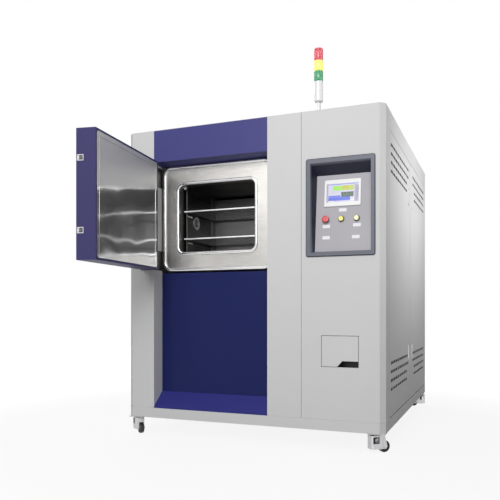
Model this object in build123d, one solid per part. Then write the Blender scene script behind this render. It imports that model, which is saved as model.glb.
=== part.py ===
"""Floor-standing environmental test chamber on levelling casters, door open.

Every piece is drawn in cabinet coordinates: x runs right from the left side,
y runs back from the front face, z runs up from the underside of the base
frame. At export the pieces move so that the origin lies on the floor, under
the middle of the whole machine with its door standing open.
"""

from build123d import *
from math import radians, tan
import os

# Cabinet, in millimetres
WIDTH = 1580.0
DEPTH = 1850.0
BODY_HEIGHT = 1750.0
CASTER_HEIGHT = 105.0
SHEET = 2.0
PANEL_TOP = BODY_HEIGHT - SHEET
CORNER_CHAMFER = 28.0
RAIL_HEIGHT = 60.0
FRAME_TUBE = 40.0
TUBE_WALL = 2.5

# Front recess that the chamber door closes into
RECESS_LEFT = 182.0
RECESS_RIGHT = 920.0
RECESS_DEPTH = 100.0
SILL_FRONT_Z = 70.0
SILL_BACK_Z = 153.0
LOWER_PANEL_TOP = 885.0
HEADER_FRONT_Z = 1556.0
HEADER_BACK_Z = 1545.0
PANEL_SEAM_X = 1122.0
SEAM_GAP = 2.0

# Chamber opening and working space
OPENING_CENTRE_X = 556.0
OPENING_CENTRE_Z = 1218.5
OPENING_WIDTH = 500.0
OPENING_HEIGHT = 410.0
OPENING_RADIUS = 34.0
FRONT_FRAME_WIDTH = 726.0
FRONT_FRAME_HEIGHT = 646.0
FRONT_FRAME_RADIUS = 58.0
FRONT_FRAME_THICKNESS = 4.0
OUTER_SEAL_WIDTH = 20.0
INNER_SEAL_WIDTH = 20.0
SEAL_HEIGHT = 10.0
SEAL_ROUNDING = 8.0
AIR_PANEL_FRONT_Y = 164.0
AIR_PANEL_Y = 590.0
AIR_OUTLET = 13.0
AIR_SLOT_PITCH = 18.5
AIR_SLOT_HEIGHT = 8.0
AIR_SLOT_GROUPS = ((1320.0, 4, 236.0), (1165.0, 6, 350.0), (1042.0, 3, 262.0))
UPRIGHT_WIDTH = 16.0
UPRIGHT_STEP = 3.0
UPRIGHT_STARTS = (AIR_PANEL_FRONT_Y, 522.0)
RUNNER_REACH = 9.0
LINER_BACK_Y = 745.0
INSULATION = 98.0
WALL_DUCT = 12.0
SHELF_HEIGHTS = {"upper": 1268.0, "lower": 1098.0}
SHELF_FRONT_Y = 142.0
SHELF_BACK_Y = 560.0
SHELF_ROD_RADIUS = 5.0
SHELF_OVERHANG = 11.0
SHELF_WIRE_RADIUS = 2.5
SHELF_WIRES = 11
SHELF_TRAVEL = 300.0
PORT_Y = 301.0
PORT_Z = 1217.0
PORT_RADIUS = 25.0
PORT_FLANGE_RADIUS = 41.0

# Chamber door, drawn closed and then swung open
DOOR_LEFT = 188.0
DOOR_RIGHT = 915.0
DOOR_EDGE_TAPER = 9.0
DOOR_BOTTOM = 898.0
DOOR_TOP = 1538.0
DOOR_FRONT_Y = -22.0
DOOR_BACK_Y = 84.0
DOOR_OPEN_ANGLE = 83.6
HINGE_X = 132.0
HINGE_Y = -36.0
HINGE_HEIGHT = 120.0
HINGE_PIN_RADIUS = 8.0
KNUCKLE_RADIUS = 15.0
HINGE_CENTRES = (962.0, 1474.0)
LATCH_HEIGHTS = (1042.0, 1394.0)
LATCH_Y = 6.0
BOLT_TRAVEL = 12.0
HANDLE_INSET = 135.0

# Control panel, set in a tapered recess of the right front panel
BEZEL_BOX = (1148.0, 1530.0, 947.0, 1484.0)
POCKET_BOX = (1174.0, 1507.0, 970.0, 1458.0)
PLATE_LEFT = 1195.0
PLATE_WIDTH = 310.0
PLATE_HEIGHT = 428.0
PLATE_BOTTOM_Y = 14.0
PLATE_BOTTOM_Z = 975.0
PLATE_TILT = 6.4
PLATE_THICKNESS = 3.0
BEZEL_PROUD = 8.0
SCREEN_SIZE = (203.0, 150.0)
SCREEN_CENTRE = (147.0, 324.0)
BUTTON_ROW = 178.0
BUTTON_COLUMNS = {"emergency_stop": 58.0, "reset_button": 143.0, "lamp_button": 228.0}

# Small hatch under the control panel
HATCH_BOX = (1237.0, 1438.0, 349.0, 515.0)
HATCH_NOTCH_TOP = 380.0
HATCH_NOTCH_X = (1323.0, 1351.0)
HATCH_GAP = 2.5
HATCH_PIN = (4.0, 5.0)
HATCH_PIN_RADIUS = 1.5
HATCH_ROLL_RADIUS = 3.2
POCKET_DEPTH = 78.0

# Service doors of the right side
SERVICE_BOTTOM = 67.0
SERVICE_TOP = 1640.0
SERVICE_FRONT_Y = (133.0, 958.5)
SERVICE_REAR_Y = (961.5, 1780.0)
SERVICE_FOLD = 20.0
SERVICE_GAP = 3.0
SERVICE_PIN_INSET = 6.0
SERVICE_PIN_RADIUS = 2.5
LATCH_CENTRES_Z = {"lower": 374.0, "upper": 1400.0}
LATCH_PADDLE = (26.0, 104.0)
LATCH_INSET = 66.0
LATCH_CUP_WALL = 3.0
LATCH_CUP_DEPTH = 14.0
LATCH_CLEARANCE = 2.0
LATCH_PIN_RADIUS = 2.0
LATCH_PIN_DROP = 3.0
LATCH_PIN_X = WIDTH - 3.0
REAR_LATCH_STEP = 40.0
SLOT_ROWS = 4
SLOT_ROW_PITCH = 49.0
SLOT_LENGTH = 56.0
SLOT_HEIGHT = 16.0
SLOT_ROW_BASES = (215.0, 1426.0)

# Tower light
TOWER_X = 1202.0
TOWER_Y = 62.0
TOWER_RADIUS = 25.0
TOWER_STEM = 62.0
TOWER_BODY = 114.0
TOWER_MODULE = 58.0
TOWER_CAP = 13.0

# Levelling casters
CASTER_PLATE = 90.0
CASTER_PLATE_THICKNESS = 5.0
CASTER_INSET = 48.0
WHEEL_RADIUS = 32.0
WHEEL_WIDTH = 25.0
WHEEL_TRAIL = 37.0
PAD_OFFSET = -22.0
AXLE_RADIUS = 6.0
PAD_RADIUS = 21.0
PAD_THICKNESS = 10.0
PAD_STUD_RADIUS = 8.0
PAD_NUT_RADIUS = 16.0
PAD_NUT_HEIGHT = 10.0
PAD_CLEARANCE = 20.0
PAD_TRAVEL = 22.0
CASTER_BODY_TOP = -11.0
CASTER_BODY_BOTTOM = -83.0
CASTER_BODY_PLAN = (-50.0, 24.0, -28.0, 28.0)
CASTER_BODY_ROUNDING = 14.0
CASTER_CHEEK = 5.0
CASTER_WINDOW = (-54.0, -18.0)
FIT_GAP = 0.05
MOVING_GAP = 0.5
CASTERS = {
    "front_left": (CASTER_INSET, CASTER_INSET, -41.0),
    "front_right": (WIDTH - CASTER_INSET, CASTER_INSET, 40.0),
    "rear_left": (CASTER_INSET, DEPTH - CASTER_INSET, 150.0),
    "rear_right": (WIDTH - CASTER_INSET, DEPTH - CASTER_INSET, 200.0),
}

# Inner machinery
COMPRESSOR_RADIUS = 105.0
COMPRESSOR_HEIGHT = 250.0
COMPRESSOR_PLACES = ((420.0, 560.0), (720.0, 560.0))
FAN_CENTRE = (OPENING_CENTRE_X, OPENING_CENTRE_Z)
FAN_RADIUS = 110.0
FAN_FRONT_Y = 622.0
FAN_DEPTH = 60.0
FAN_SHAFT_RADIUS = 8.0
CONDENSER_CENTRE = (1080.0, 620.0)
CONDENSER_SIZE = (620.0, 560.0)
CONDENSER_FAN_RADIUS = 200.0
CONDENSER_FRONT_Y = 1640.0

SHIFT_X = -WIDTH / 2
SHIFT_Y = -513.0


def block(x0, x1, y0, y1, z0, z1):
    """Return a box between two opposite corners."""
    size = (x1 - x0, y1 - y0, z1 - z0)
    middle = ((x0 + x1) / 2, (y0 + y1) / 2, (z0 + z1) / 2)
    return Pos(*middle) * Box(*size)


def rod(start, end, radius):
    """Return a round bar between two points."""
    line = Vector(*end) - Vector(*start)
    plane = Plane(origin=start, z_dir=line)
    return extrude(plane * Circle(radius), line.length)


def ring(start, end, outer, inner):
    """Return a round tube between two points."""
    return rod(start, end, outer) - rod(start, end, inner)


def rounded_prism(centre_x, centre_z, width, height, radius, y0, y1):
    """Return an upright rounded rectangle, extruded from y0 back to y1."""
    plane = Plane(origin=(centre_x, y0, centre_z), x_dir=(1, 0, 0), z_dir=(0, -1, 0))
    outline = plane * RectangleRounded(width, height, radius)
    return extrude(outline, -(y1 - y0))


def plan_prism(points, z0, z1):
    """Return an outline in plan, extruded from z0 up to z1."""
    outline = make_face(Polyline([(x, y) for x, y in points], close=True))
    return Pos(0, 0, z0) * extrude(outline, z1 - z0)


def side_prism(points, x0, x1):
    """Return an outline of (y, z) points, extruded from x0 to x1."""
    plane = Plane(origin=(x0, 0, 0), x_dir=(0, 1, 0), z_dir=(1, 0, 0))
    outline = plane * make_face(Polyline(points, close=True))
    return extrude(outline, x1 - x0)


def folded_sheet(points, z0, z1, thickness=SHEET):
    """Return sheet metal bent along an open line in plan.

    The metal lies to the left of the line, in the order of its points.
    """
    path = [Vector(x, y) for x, y in points]
    normals = []
    for first, second in zip(path, path[1:]):
        along = (second - first).normalized()
        normals.append(Vector(-along.Y, along.X))
    inner = [path[0] + normals[0] * thickness]
    for corner, before, after in zip(path[1:], normals, normals[1:]):
        mitre = (before + after) * (thickness / (1 + before.dot(after)))
        inner.append(corner + mitre)
    inner.append(path[-1] + normals[-1] * thickness)
    outline = [(point.X, point.Y) for point in path + inner[::-1]]
    return plan_prism(outline, z0, z1)


def tube(x0, x1, y0, y1, z0, z1, wall=TUBE_WALL):
    """Return a square tube, open at both ends of its longest side."""
    lengths = (x1 - x0, y1 - y0, z1 - z0)
    long_side = lengths.index(max(lengths))
    low = [x0 + wall, y0 + wall, z0 + wall]
    high = [x1 - wall, y1 - wall, z1 - wall]
    low[long_side] -= 2 * wall
    high[long_side] += 2 * wall
    hollow = block(low[0], high[0], low[1], high[1], low[2], high[2])
    return block(x0, x1, y0, y1, z0, z1) - hollow


def cabinet_outline(inset):
    """Return the cabinet's plan, with both front corners cut off."""
    cut = CORNER_CHAMFER - inset * (2 - tan(radians(67.5)))
    left = inset
    right = WIDTH - inset
    front = inset
    back = DEPTH - inset
    return [
        (left + cut, front),
        (right - cut, front),
        (right, front + cut),
        (right, back),
        (left, back),
        (left, front + cut),
    ]


def service_pivots():
    """Return the y of the pivot pins of the two service doors."""
    return SERVICE_FRONT_Y[0] + SERVICE_PIN_INSET, SERVICE_REAR_Y[1] - SERVICE_PIN_INSET


def make_base_frame():
    """Make the channels, cross members and caster plates of the base."""
    flange = 50.0
    web = 4.0
    ring_solid = plan_prism(cabinet_outline(0), 0, RAIL_HEIGHT)
    ring_solid -= plan_prism(cabinet_outline(flange), -1, RAIL_HEIGHT + 1)
    top_rim = ring_solid.faces().sort_by(Axis.Z)[-1].outer_wire().edges()
    ring_solid = chamfer(top_rim, 2)
    groove = plan_prism(cabinet_outline(web), web, RAIL_HEIGHT - web)
    groove -= plan_prism(cabinet_outline(flange + 30), 0, RAIL_HEIGHT)
    ring_solid -= groove
    for y in service_pivots():
        x = WIDTH - SERVICE_PIN_INSET
        ring_solid -= rod((x, y, 0), (x, y, RAIL_HEIGHT + 1), SERVICE_PIN_RADIUS + FIT_GAP)
    members = []
    for y0, y1 in ((-1, flange + 44), (DEPTH - flange - 44, DEPTH + 1)):
        members.append(ring_solid & block(-1, WIDTH + 1, y0, y1, -1, RAIL_HEIGHT + 1))
    for x0, x1 in ((-1, flange + 1), (WIDTH - flange - 1, WIDTH + 1)):
        members.append(ring_solid & block(x0, x1, flange + 44, DEPTH - flange - 44, -1, RAIL_HEIGHT + 1))
    for cross_y in (520.0, 1000.0, 1480.0):
        cross = block(flange, WIDTH - flange, cross_y - 25, cross_y + 25, web, RAIL_HEIGHT)
        cross -= block(flange - 9, WIDTH, cross_y - 21, cross_y + 21, 0, RAIL_HEIGHT - web)
        members.append(cross)
    for x, y, _ in CASTERS.values():
        half = CASTER_PLATE / 2
        plate = block(x - half, x + half, y - half, y + half, -CASTER_PLATE_THICKNESS, 0)
        members.append(plate + rod((x, y, CASTER_BODY_TOP), (x, y, -CASTER_PLATE_THICKNESS), 24))
    return members


def make_floor_pan():
    """Make the sheet floor that carries the refrigeration plant."""
    low = 54.0
    front = RECESS_DEPTH + 6
    return block(low, WIDTH - low, front, DEPTH - low, RAIL_HEIGHT, RAIL_HEIGHT + 3)


def make_body_frame():
    """Make the posts and top rails that the panels fasten to."""
    size = FRAME_TUBE
    low = RAIL_HEIGHT + 3
    high = PANEL_TOP - size
    front = RECESS_DEPTH + 6.0
    left = 6.0
    right = WIDTH - 26.0 - size
    back = DEPTH - 6.0 - size
    bars = []
    for x, y in ((left, front), (1066.0, front), (right, front), (left, back), (right, back), (right, 940.0)):
        bars.append(tube(x, x + size, y, y + size, low, high))
    for y in (front, back):
        bars.append(tube(left, right + size, y, y + size, high, PANEL_TOP))
    for x in (left, right):
        bars.append(tube(x, x + size, front + size, back, high, PANEL_TOP))
    return bars


def make_left_column():
    """Make the folded front column at the left of the recess."""
    path = [
        (0, CORNER_CHAMFER + 30),
        (0, CORNER_CHAMFER),
        (CORNER_CHAMFER, 0),
        (RECESS_LEFT, 0),
        (RECESS_LEFT, RECESS_DEPTH),
    ]
    return folded_sheet(path, RAIL_HEIGHT, PANEL_TOP)


def make_middle_column():
    """Make the folded column between the recess and the control side."""
    path = [
        (RECESS_RIGHT, RECESS_DEPTH),
        (RECESS_RIGHT, 0),
        (PANEL_SEAM_X - SEAM_GAP, 0),
        (PANEL_SEAM_X - SEAM_GAP, 24),
    ]
    column = folded_sheet(path, RAIL_HEIGHT, PANEL_TOP)
    for z in LATCH_HEIGHTS:
        column -= block(RECESS_RIGHT - 1, RECESS_RIGHT + 30, LATCH_Y - 3, LATCH_Y + 15, z - 16, z + 16)
    return column


def make_header_panel():
    """Make the blue panel over the door, with its sloping underside."""
    left = RECESS_LEFT + 0.5
    right = RECESS_RIGHT - 0.5
    outer = [
        (0, PANEL_TOP),
        (0, HEADER_FRONT_Z),
        (RECESS_DEPTH, HEADER_BACK_Z),
        (RECESS_DEPTH, HEADER_BACK_Z + SHEET),
        (SHEET, HEADER_FRONT_Z + SHEET),
        (SHEET, PANEL_TOP),
    ]
    return side_prism(outer, left, right)


def make_lower_panel():
    """Make the recessed panel under the door with its sloping sill."""
    left = RECESS_LEFT + 0.5
    right = RECESS_RIGHT - 0.5
    outer = [
        (0, RAIL_HEIGHT),
        (0, SILL_FRONT_Z),
        (RECESS_DEPTH, SILL_BACK_Z),
        (RECESS_DEPTH, LOWER_PANEL_TOP),
        (RECESS_DEPTH + SHEET, LOWER_PANEL_TOP),
        (RECESS_DEPTH + SHEET, SILL_BACK_Z - 1.3),
        (SHEET, SILL_FRONT_Z - 1.3),
        (SHEET, RAIL_HEIGHT),
    ]
    return side_prism(outer, left, right)


def make_control_front_panel():
    """Make the right front panel with its control and hatch openings."""
    path = [
        (PANEL_SEAM_X, 24),
        (PANEL_SEAM_X, 0),
        (WIDTH - CORNER_CHAMFER, 0),
        (WIDTH, CORNER_CHAMFER),
        (WIDTH, CORNER_CHAMFER + 3),
    ]
    panel = folded_sheet(path, RAIL_HEIGHT, PANEL_TOP)
    x0, x1, z0, z1 = POCKET_BOX
    panel -= block(x0 - 6, x1 + 6, -5, 5, z0 - 6, z1 + 6)
    x0, x1, z0, z1 = HATCH_BOX
    gap = HATCH_GAP
    panel -= block(x0 - gap, x1 + gap, -5, 5, z0 - gap, z1 + gap)
    return panel


def make_left_side_panel():
    """Make the plain left side with the hole of the cable port."""
    panel = block(0, SHEET, CORNER_CHAMFER + 30, DEPTH - SHEET, RAIL_HEIGHT, PANEL_TOP)
    return panel - rod((-5, PORT_Y, PORT_Z), (5, PORT_Y, PORT_Z), PORT_RADIUS + 3)


def make_top_cover():
    """Make the flat lid over the tops of all the panels."""
    cover = plan_prism(cabinet_outline(0), PANEL_TOP, BODY_HEIGHT)
    return cover - rod((TOWER_X, TOWER_Y, 1700), (TOWER_X, TOWER_Y, 1800), 8)


def make_rear_panel():
    """Make the rear panel with the condenser grille and service glands."""
    panel = block(0, WIDTH, DEPTH - SHEET, DEPTH, RAIL_HEIGHT, PANEL_TOP)
    x, z = CONDENSER_CENTRE
    slot_height = 14.0
    pitch = 40.0
    for row in range(13):
        level = z + (row - 6) * pitch
        for column in range(4):
            centre = x + (column - 1.5) * 140.0
            panel -= block(centre - 60, centre + 60, DEPTH - 5, DEPTH + 5, level, level + slot_height)
    return panel


def make_side_frame():
    """Make the fixed surround of the two service doors."""
    front = CORNER_CHAMFER + 3.5
    inner_front = SERVICE_FRONT_Y[0] - SERVICE_GAP
    inner_back = SERVICE_REAR_Y[1] + SERVICE_GAP
    inner_top = SERVICE_TOP + SERVICE_GAP
    sheet = block(WIDTH - SHEET, WIDTH, front, DEPTH - SHEET, RAIL_HEIGHT, PANEL_TOP)
    sheet -= block(WIDTH - 9, WIDTH + 9, inner_front, inner_back, RAIL_HEIGHT - 9, inner_top)
    returns = block(WIDTH - 24, WIDTH - SHEET, inner_front - SHEET, inner_front, RAIL_HEIGHT, inner_top)
    returns += block(WIDTH - 24, WIDTH - SHEET, inner_back, inner_back + SHEET, RAIL_HEIGHT, inner_top)
    returns += block(WIDTH - 24, WIDTH - SHEET, inner_front - SHEET, inner_back + SHEET,
                     inner_top, inner_top + SHEET)
    for y in service_pivots():
        x = WIDTH - SERVICE_PIN_INSET
        returns -= rod((x, y, inner_top - 1), (x, y, inner_top + 5), SERVICE_PIN_RADIUS + FIT_GAP)
    return sheet + returns


def make_front_frame():
    """Make the brushed frame around the chamber opening."""
    back = RECESS_DEPTH + SHEET
    front = back - FRONT_FRAME_THICKNESS
    frame = rounded_prism(OPENING_CENTRE_X, OPENING_CENTRE_Z, FRONT_FRAME_WIDTH,
                          FRONT_FRAME_HEIGHT, FRONT_FRAME_RADIUS, front, back)
    return frame - rounded_prism(OPENING_CENTRE_X, OPENING_CENTRE_Z, OPENING_WIDTH,
                                 OPENING_HEIGHT, OPENING_RADIUS, front - 1, back + 1)


def make_seal(width, height, radius, band):
    """Make one closed seal around the opening, standing on the frame."""
    back = RECESS_DEPTH + SHEET - FRONT_FRAME_THICKNESS
    front = back - SEAL_HEIGHT
    seal = rounded_prism(OPENING_CENTRE_X, OPENING_CENTRE_Z, width, height, radius, front, back)
    seal -= rounded_prism(OPENING_CENTRE_X, OPENING_CENTRE_Z, width - 2 * band,
                          height - 2 * band, radius - band, front - 1, back + 1)
    return fillet(seal.faces().sort_by(Axis.Y)[0].edges(), SEAL_ROUNDING)


def make_outer_seal():
    """Make the seal that runs round the edge of the front frame."""
    return make_seal(FRONT_FRAME_WIDTH, FRONT_FRAME_HEIGHT, FRONT_FRAME_RADIUS, OUTER_SEAL_WIDTH)


def make_inner_seal():
    """Make the seal that runs round the opening itself."""
    band = INNER_SEAL_WIDTH
    return make_seal(OPENING_WIDTH + 2 * band, OPENING_HEIGHT + 2 * band,
                     OPENING_RADIUS + band, band)


def opening_limits():
    """Return the left, right, bottom and top of the working space."""
    left = OPENING_CENTRE_X - OPENING_WIDTH / 2
    right = OPENING_CENTRE_X + OPENING_WIDTH / 2
    bottom = OPENING_CENTRE_Z - OPENING_HEIGHT / 2
    top = OPENING_CENTRE_Z + OPENING_HEIGHT / 2
    return left, right, bottom, top


def walls_around(limits, y0, y1, thickness):
    """Return the right, left, bottom and top slabs around a box."""
    left, right, bottom, top = limits
    outer_left = left - thickness
    outer_right = right + thickness
    return [
        block(right, outer_right, y0, y1, bottom, top),
        block(outer_left, left, y0, y1, bottom, top),
        block(outer_left, outer_right, y0, y1, bottom - thickness, bottom),
        block(outer_left, outer_right, y0, y1, top, top + thickness),
    ]


def make_liner():
    """Make the welded stainless walls, floor, ceiling and back."""
    left, right, bottom, top = opening_limits()
    front = RECESS_DEPTH + SHEET
    walls = walls_around(opening_limits(), front, LINER_BACK_Y, SHEET)
    walls[1] -= rod((left - 9, PORT_Y, PORT_Z), (left + 9, PORT_Y, PORT_Z), PORT_RADIUS + 3)
    back = block(left - SHEET, right + SHEET, LINER_BACK_Y, LINER_BACK_Y + SHEET,
                 bottom - SHEET, top + SHEET)
    x, z = FAN_CENTRE
    back -= rod((x, LINER_BACK_Y - 5, z), (x, LINER_BACK_Y + 5, z), FAN_SHAFT_RADIUS + 5)
    return walls + [back]


def make_insulation():
    """Make the slabs of wool between the liner and the cabinet."""
    left, right, bottom, top = opening_limits()
    inner = (left - SHEET, right + SHEET, bottom - SHEET, top + SHEET)
    thickness = INSULATION - SHEET
    front = RECESS_DEPTH + SHEET
    face = LINER_BACK_Y + SHEET
    rear = LINER_BACK_Y + INSULATION
    slabs = walls_around(inner, front, rear, thickness)
    slabs[1] -= rod((0, PORT_Y, PORT_Z), (left, PORT_Y, PORT_Z), PORT_RADIUS + 3)
    back = block(inner[0], inner[1], face, rear, inner[2], inner[3])
    x, z = FAN_CENTRE
    back -= rod((x, face - 1, z), (x, rear + 1, z), FAN_SHAFT_RADIUS + 5)
    return slabs + [back]


def make_air_panel():
    """Make the slotted inner walls with their uprights and runners."""
    left, right, bottom, top = opening_limits()
    low_x = left + WALL_DUCT
    high_x = right - WALL_DUCT
    front = AIR_PANEL_FRONT_Y
    rear = AIR_PANEL_Y - SHEET
    slotted = block(low_x, low_x + SHEET, front, rear, bottom, top)
    for lowest, rows, first_y in AIR_SLOT_GROUPS:
        for row in range(rows):
            level = lowest + row * AIR_SLOT_PITCH
            middle = (first_y + UPRIGHT_STARTS[1]) / 2
            for y0, y1 in ((first_y, middle - 4), (middle + 4, UPRIGHT_STARTS[1] - 8)):
                slotted -= block(low_x - 9, low_x + 9, y0, y1, level, level + AIR_SLOT_HEIGHT)
    slotted -= rod((low_x - 9, PORT_Y, PORT_Z), (low_x + 9, PORT_Y, PORT_Z), PORT_FLANGE_RADIUS + 2)
    plain = block(high_x - SHEET, high_x, front, rear, bottom, top)
    back = block(low_x, high_x, rear, AIR_PANEL_Y, bottom + AIR_OUTLET, top - AIR_OUTLET)
    pieces = [slotted, plain, back]
    step = UPRIGHT_STEP
    for wall, sign in ((low_x + SHEET, 1), (high_x - SHEET, -1)):
        for y in UPRIGHT_STARTS:
            x0, x1 = sorted((wall, wall + sign * step))
            pieces.append(block(x0, x1, y, y + UPRIGHT_WIDTH, bottom + 4, top - 4))
        for level in SHELF_HEIGHTS.values():
            under = level - SHELF_ROD_RADIUS - MOVING_GAP
            x0, x1 = sorted((wall + sign * step, wall + sign * (step + RUNNER_REACH)))
            pieces.append(block(x0, x1, front, rear, under - 2, under))
    return pieces


def make_port_sleeve():
    """Make the cable port tube from the left side into the chamber."""
    inner_wall = OPENING_CENTRE_X - OPENING_WIDTH / 2 + WALL_DUCT
    sleeve = rod((0, PORT_Y, PORT_Z), (inner_wall, PORT_Y, PORT_Z), PORT_RADIUS + 2.8)
    sleeve += rod((inner_wall - 1, PORT_Y, PORT_Z), (inner_wall + 4, PORT_Y, PORT_Z), PORT_FLANGE_RADIUS)
    sleeve += rod((-6, PORT_Y, PORT_Z), (0, PORT_Y, PORT_Z), PORT_FLANGE_RADIUS)
    return sleeve - rod((-9, PORT_Y, PORT_Z), (inner_wall + 9, PORT_Y, PORT_Z), PORT_RADIUS)


def make_shelf(level):
    """Make one wire shelf at its height."""
    radius = SHELF_ROD_RADIUS
    inset = WALL_DUCT + SHEET + UPRIGHT_STEP + MOVING_GAP + radius
    left = OPENING_CENTRE_X - OPENING_WIDTH / 2 + inset
    right = OPENING_CENTRE_X + OPENING_WIDTH / 2 - inset
    over = SHELF_OVERHANG
    front_rod = radius + 0.5
    shelf = rod((left - over, SHELF_FRONT_Y, level), (right + over, SHELF_FRONT_Y, level), front_rod)
    shelf += rod((left, SHELF_BACK_Y, level), (right, SHELF_BACK_Y, level), radius)
    for x in (left, right):
        shelf += rod((x, SHELF_FRONT_Y, level), (x, SHELF_BACK_Y, level), radius)
        shelf += Pos(x, SHELF_BACK_Y, level) * Sphere(radius)
    gap = (right - left) / (SHELF_WIRES + 1)
    for index in range(SHELF_WIRES):
        x = left + gap * (index + 1)
        shelf += rod((x, SHELF_FRONT_Y, level), (x, SHELF_BACK_Y, level), SHELF_WIRE_RADIUS)
    return shelf


def make_circulation_fan():
    """Make the bladed fan wheel with its drive shaft."""
    x, z = FAN_CENTRE
    back = FAN_FRONT_Y + FAN_DEPTH
    wheel = rod((x, back - 4, z), (x, back, z), FAN_RADIUS)
    wheel += ring((x, FAN_FRONT_Y, z), (x, FAN_FRONT_Y + 4, z), FAN_RADIUS, FAN_RADIUS - 28)
    wheel += rod((x, back - 30, z), (x, back, z), 22)
    wheel += rod((x, back - 30, z), (x, LINER_BACK_Y + INSULATION + 40, z), FAN_SHAFT_RADIUS)
    blades = 12
    for index in range(blades):
        blade = block(FAN_RADIUS - 26, FAN_RADIUS - 2, FAN_FRONT_Y, back, -1.5, 1.5)
        turned = Rot(0, index * 360 / blades, 0) * blade
        wheel += Pos(x, 0, z) * turned
    return wheel


def make_fan_motor():
    """Make the motor on the back of the insulation."""
    x, z = FAN_CENTRE
    face = LINER_BACK_Y + INSULATION
    motor = rod((x, face, z), (x, face + 10, z), 78)
    motor += rod((x, face + 10, z), (x, face + 160, z), 62)
    for index in range(12):
        angle = index * 30
        fin = block(60, 69, face + 30, face + 140, -2, 2)
        motor += Pos(x, 0, z) * (Rot(0, angle, 0) * fin)
    return motor - rod((x, face - 1, z), (x, face + 45, z), FAN_SHAFT_RADIUS + FIT_GAP)


def make_heater():
    """Make the heater element: hairpins of tube on a strip."""
    left = OPENING_CENTRE_X + 130
    top = OPENING_CENTRE_Z + 175
    heater = block(left - 6, left + 96, LINER_BACK_Y - 8, LINER_BACK_Y, top - 6, top + 20)
    for index in range(4):
        x = left + 12 + index * 22
        heater += rod((x, LINER_BACK_Y - 24, top - 330), (x, LINER_BACK_Y - 24, top + 6), 4)
        heater += rod((x, LINER_BACK_Y - 24, top + 6), (x, LINER_BACK_Y - 8, top + 6), 4)
    for index in (0, 2):
        x = left + 12 + index * 22
        heater += rod((x, LINER_BACK_Y - 24, top - 330), (x + 22, LINER_BACK_Y - 24, top - 330), 4)
        for end in (x, x + 22):
            heater += Pos(end, LINER_BACK_Y - 24, top - 330) * Sphere(4)
            heater += Pos(end, LINER_BACK_Y - 24, top + 6) * Sphere(4)
    return heater


def make_evaporator():
    """Make the finned cooling coil beside the fan."""
    x0 = OPENING_CENTRE_X - 236
    x1 = x0 + 90
    y0 = AIR_PANEL_Y + 22
    y1 = LINER_BACK_Y - 12
    z0 = OPENING_CENTRE_Z - 180
    z1 = OPENING_CENTRE_Z + 180
    coil = block(x0, x1, y0, y1, z0, z0 + 3) + block(x0, x1, y0, y1, z1 - 3, z1)
    fins = 14
    pitch = (z1 - z0) / (fins + 1)
    for index in range(fins):
        level = z0 + pitch * (index + 1)
        coil += block(x0, x1, y0, y1, level - 1, level + 1)
    for x in (x0 + 22, x1 - 22):
        for y in (y0 + 22, y1 - 22):
            coil += rod((x, y, z0 - 14), (x, y, z1 + 14), 6)
    return coil


def make_compressors():
    """Make the two hermetic compressors on the floor pan."""
    base = RAIL_HEIGHT + 3
    group = []
    for x, y in COMPRESSOR_PLACES:
        radius = COMPRESSOR_RADIUS
        dome = 45.0
        shell = Pos(x, y, base + 20 + COMPRESSOR_HEIGHT / 2) * Cylinder(radius, COMPRESSOR_HEIGHT)
        shell = fillet(shell.edges().filter_by(GeomType.CIRCLE), dome)
        foot = block(x - 115, x + 115, y - 60, y + 60, base + 18, base + 24)
        for dx in (-95, 95):
            for dy in (-40, 40):
                foot += rod((x + dx, y + dy, base), (x + dx, y + dy, base + 18), 14)
        shell += foot
        shell += rod((x + 60, y, base + 240), (x + 60, y, base + 330), 8)
        shell += rod((x - 60, y, base + 240), (x - 60, y, base + 330), 11)
        group.append(shell)
    return Compound(group)


def make_condenser():
    """Make the finned condenser with its fan ring and motor arms."""
    x, z = CONDENSER_CENTRE
    width, height = CONDENSER_SIZE
    y0 = CONDENSER_FRONT_Y
    left = x - width / 2
    right = x + width / 2
    bottom = z - height / 2
    top = z + height / 2
    body = block(left, right, y0, y0 + 60, bottom, bottom + 4)
    body += block(left, right, y0, y0 + 60, top - 4, top)
    body += block(left, left + 4, y0, y0 + 60, bottom, top)
    body += block(right - 4, right, y0, y0 + 60, bottom, top)
    fins = 24
    pitch = width / (fins + 1)
    for index in range(fins):
        level = left + pitch * (index + 1)
        body += block(level - 1, level + 1, y0 + 8, y0 + 52, bottom, top)
    for row in range(5):
        level = bottom + height * (row + 0.5) / 5
        body += rod((left - 14, y0 + 30, level), (right + 14, y0 + 30, level), 7)
    shroud = block(left, right, y0 + 60, y0 + 64, bottom, top)
    shroud -= rod((x, y0, z), (x, y0 + 90, z), CONDENSER_FAN_RADIUS + 12)
    shroud += ring((x, y0 + 60, z), (x, y0 + 110, z), CONDENSER_FAN_RADIUS + 16, CONDENSER_FAN_RADIUS + 12)
    hub = rod((x, y0 + 118, z), (x, y0 + 170, z), 45)
    hub += block(x - 250, x + 250, y0 + 130, y0 + 136, z - 15, z + 15)
    for side in (-1, 1):
        end = x + side * 244
        hub += block(end - 6, end + 6, y0 + 64, y0 + 136, z - 15, z + 15)
    hub -= rod((x, y0 + 110, z), (x, y0 + 150, z), 7 + FIT_GAP)
    legs = block(left, left + 30, y0, y0 + 60, RAIL_HEIGHT + 3, bottom)
    legs += block(right - 30, right, y0, y0 + 60, RAIL_HEIGHT + 3, bottom)
    return body + shroud + hub + legs


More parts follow.
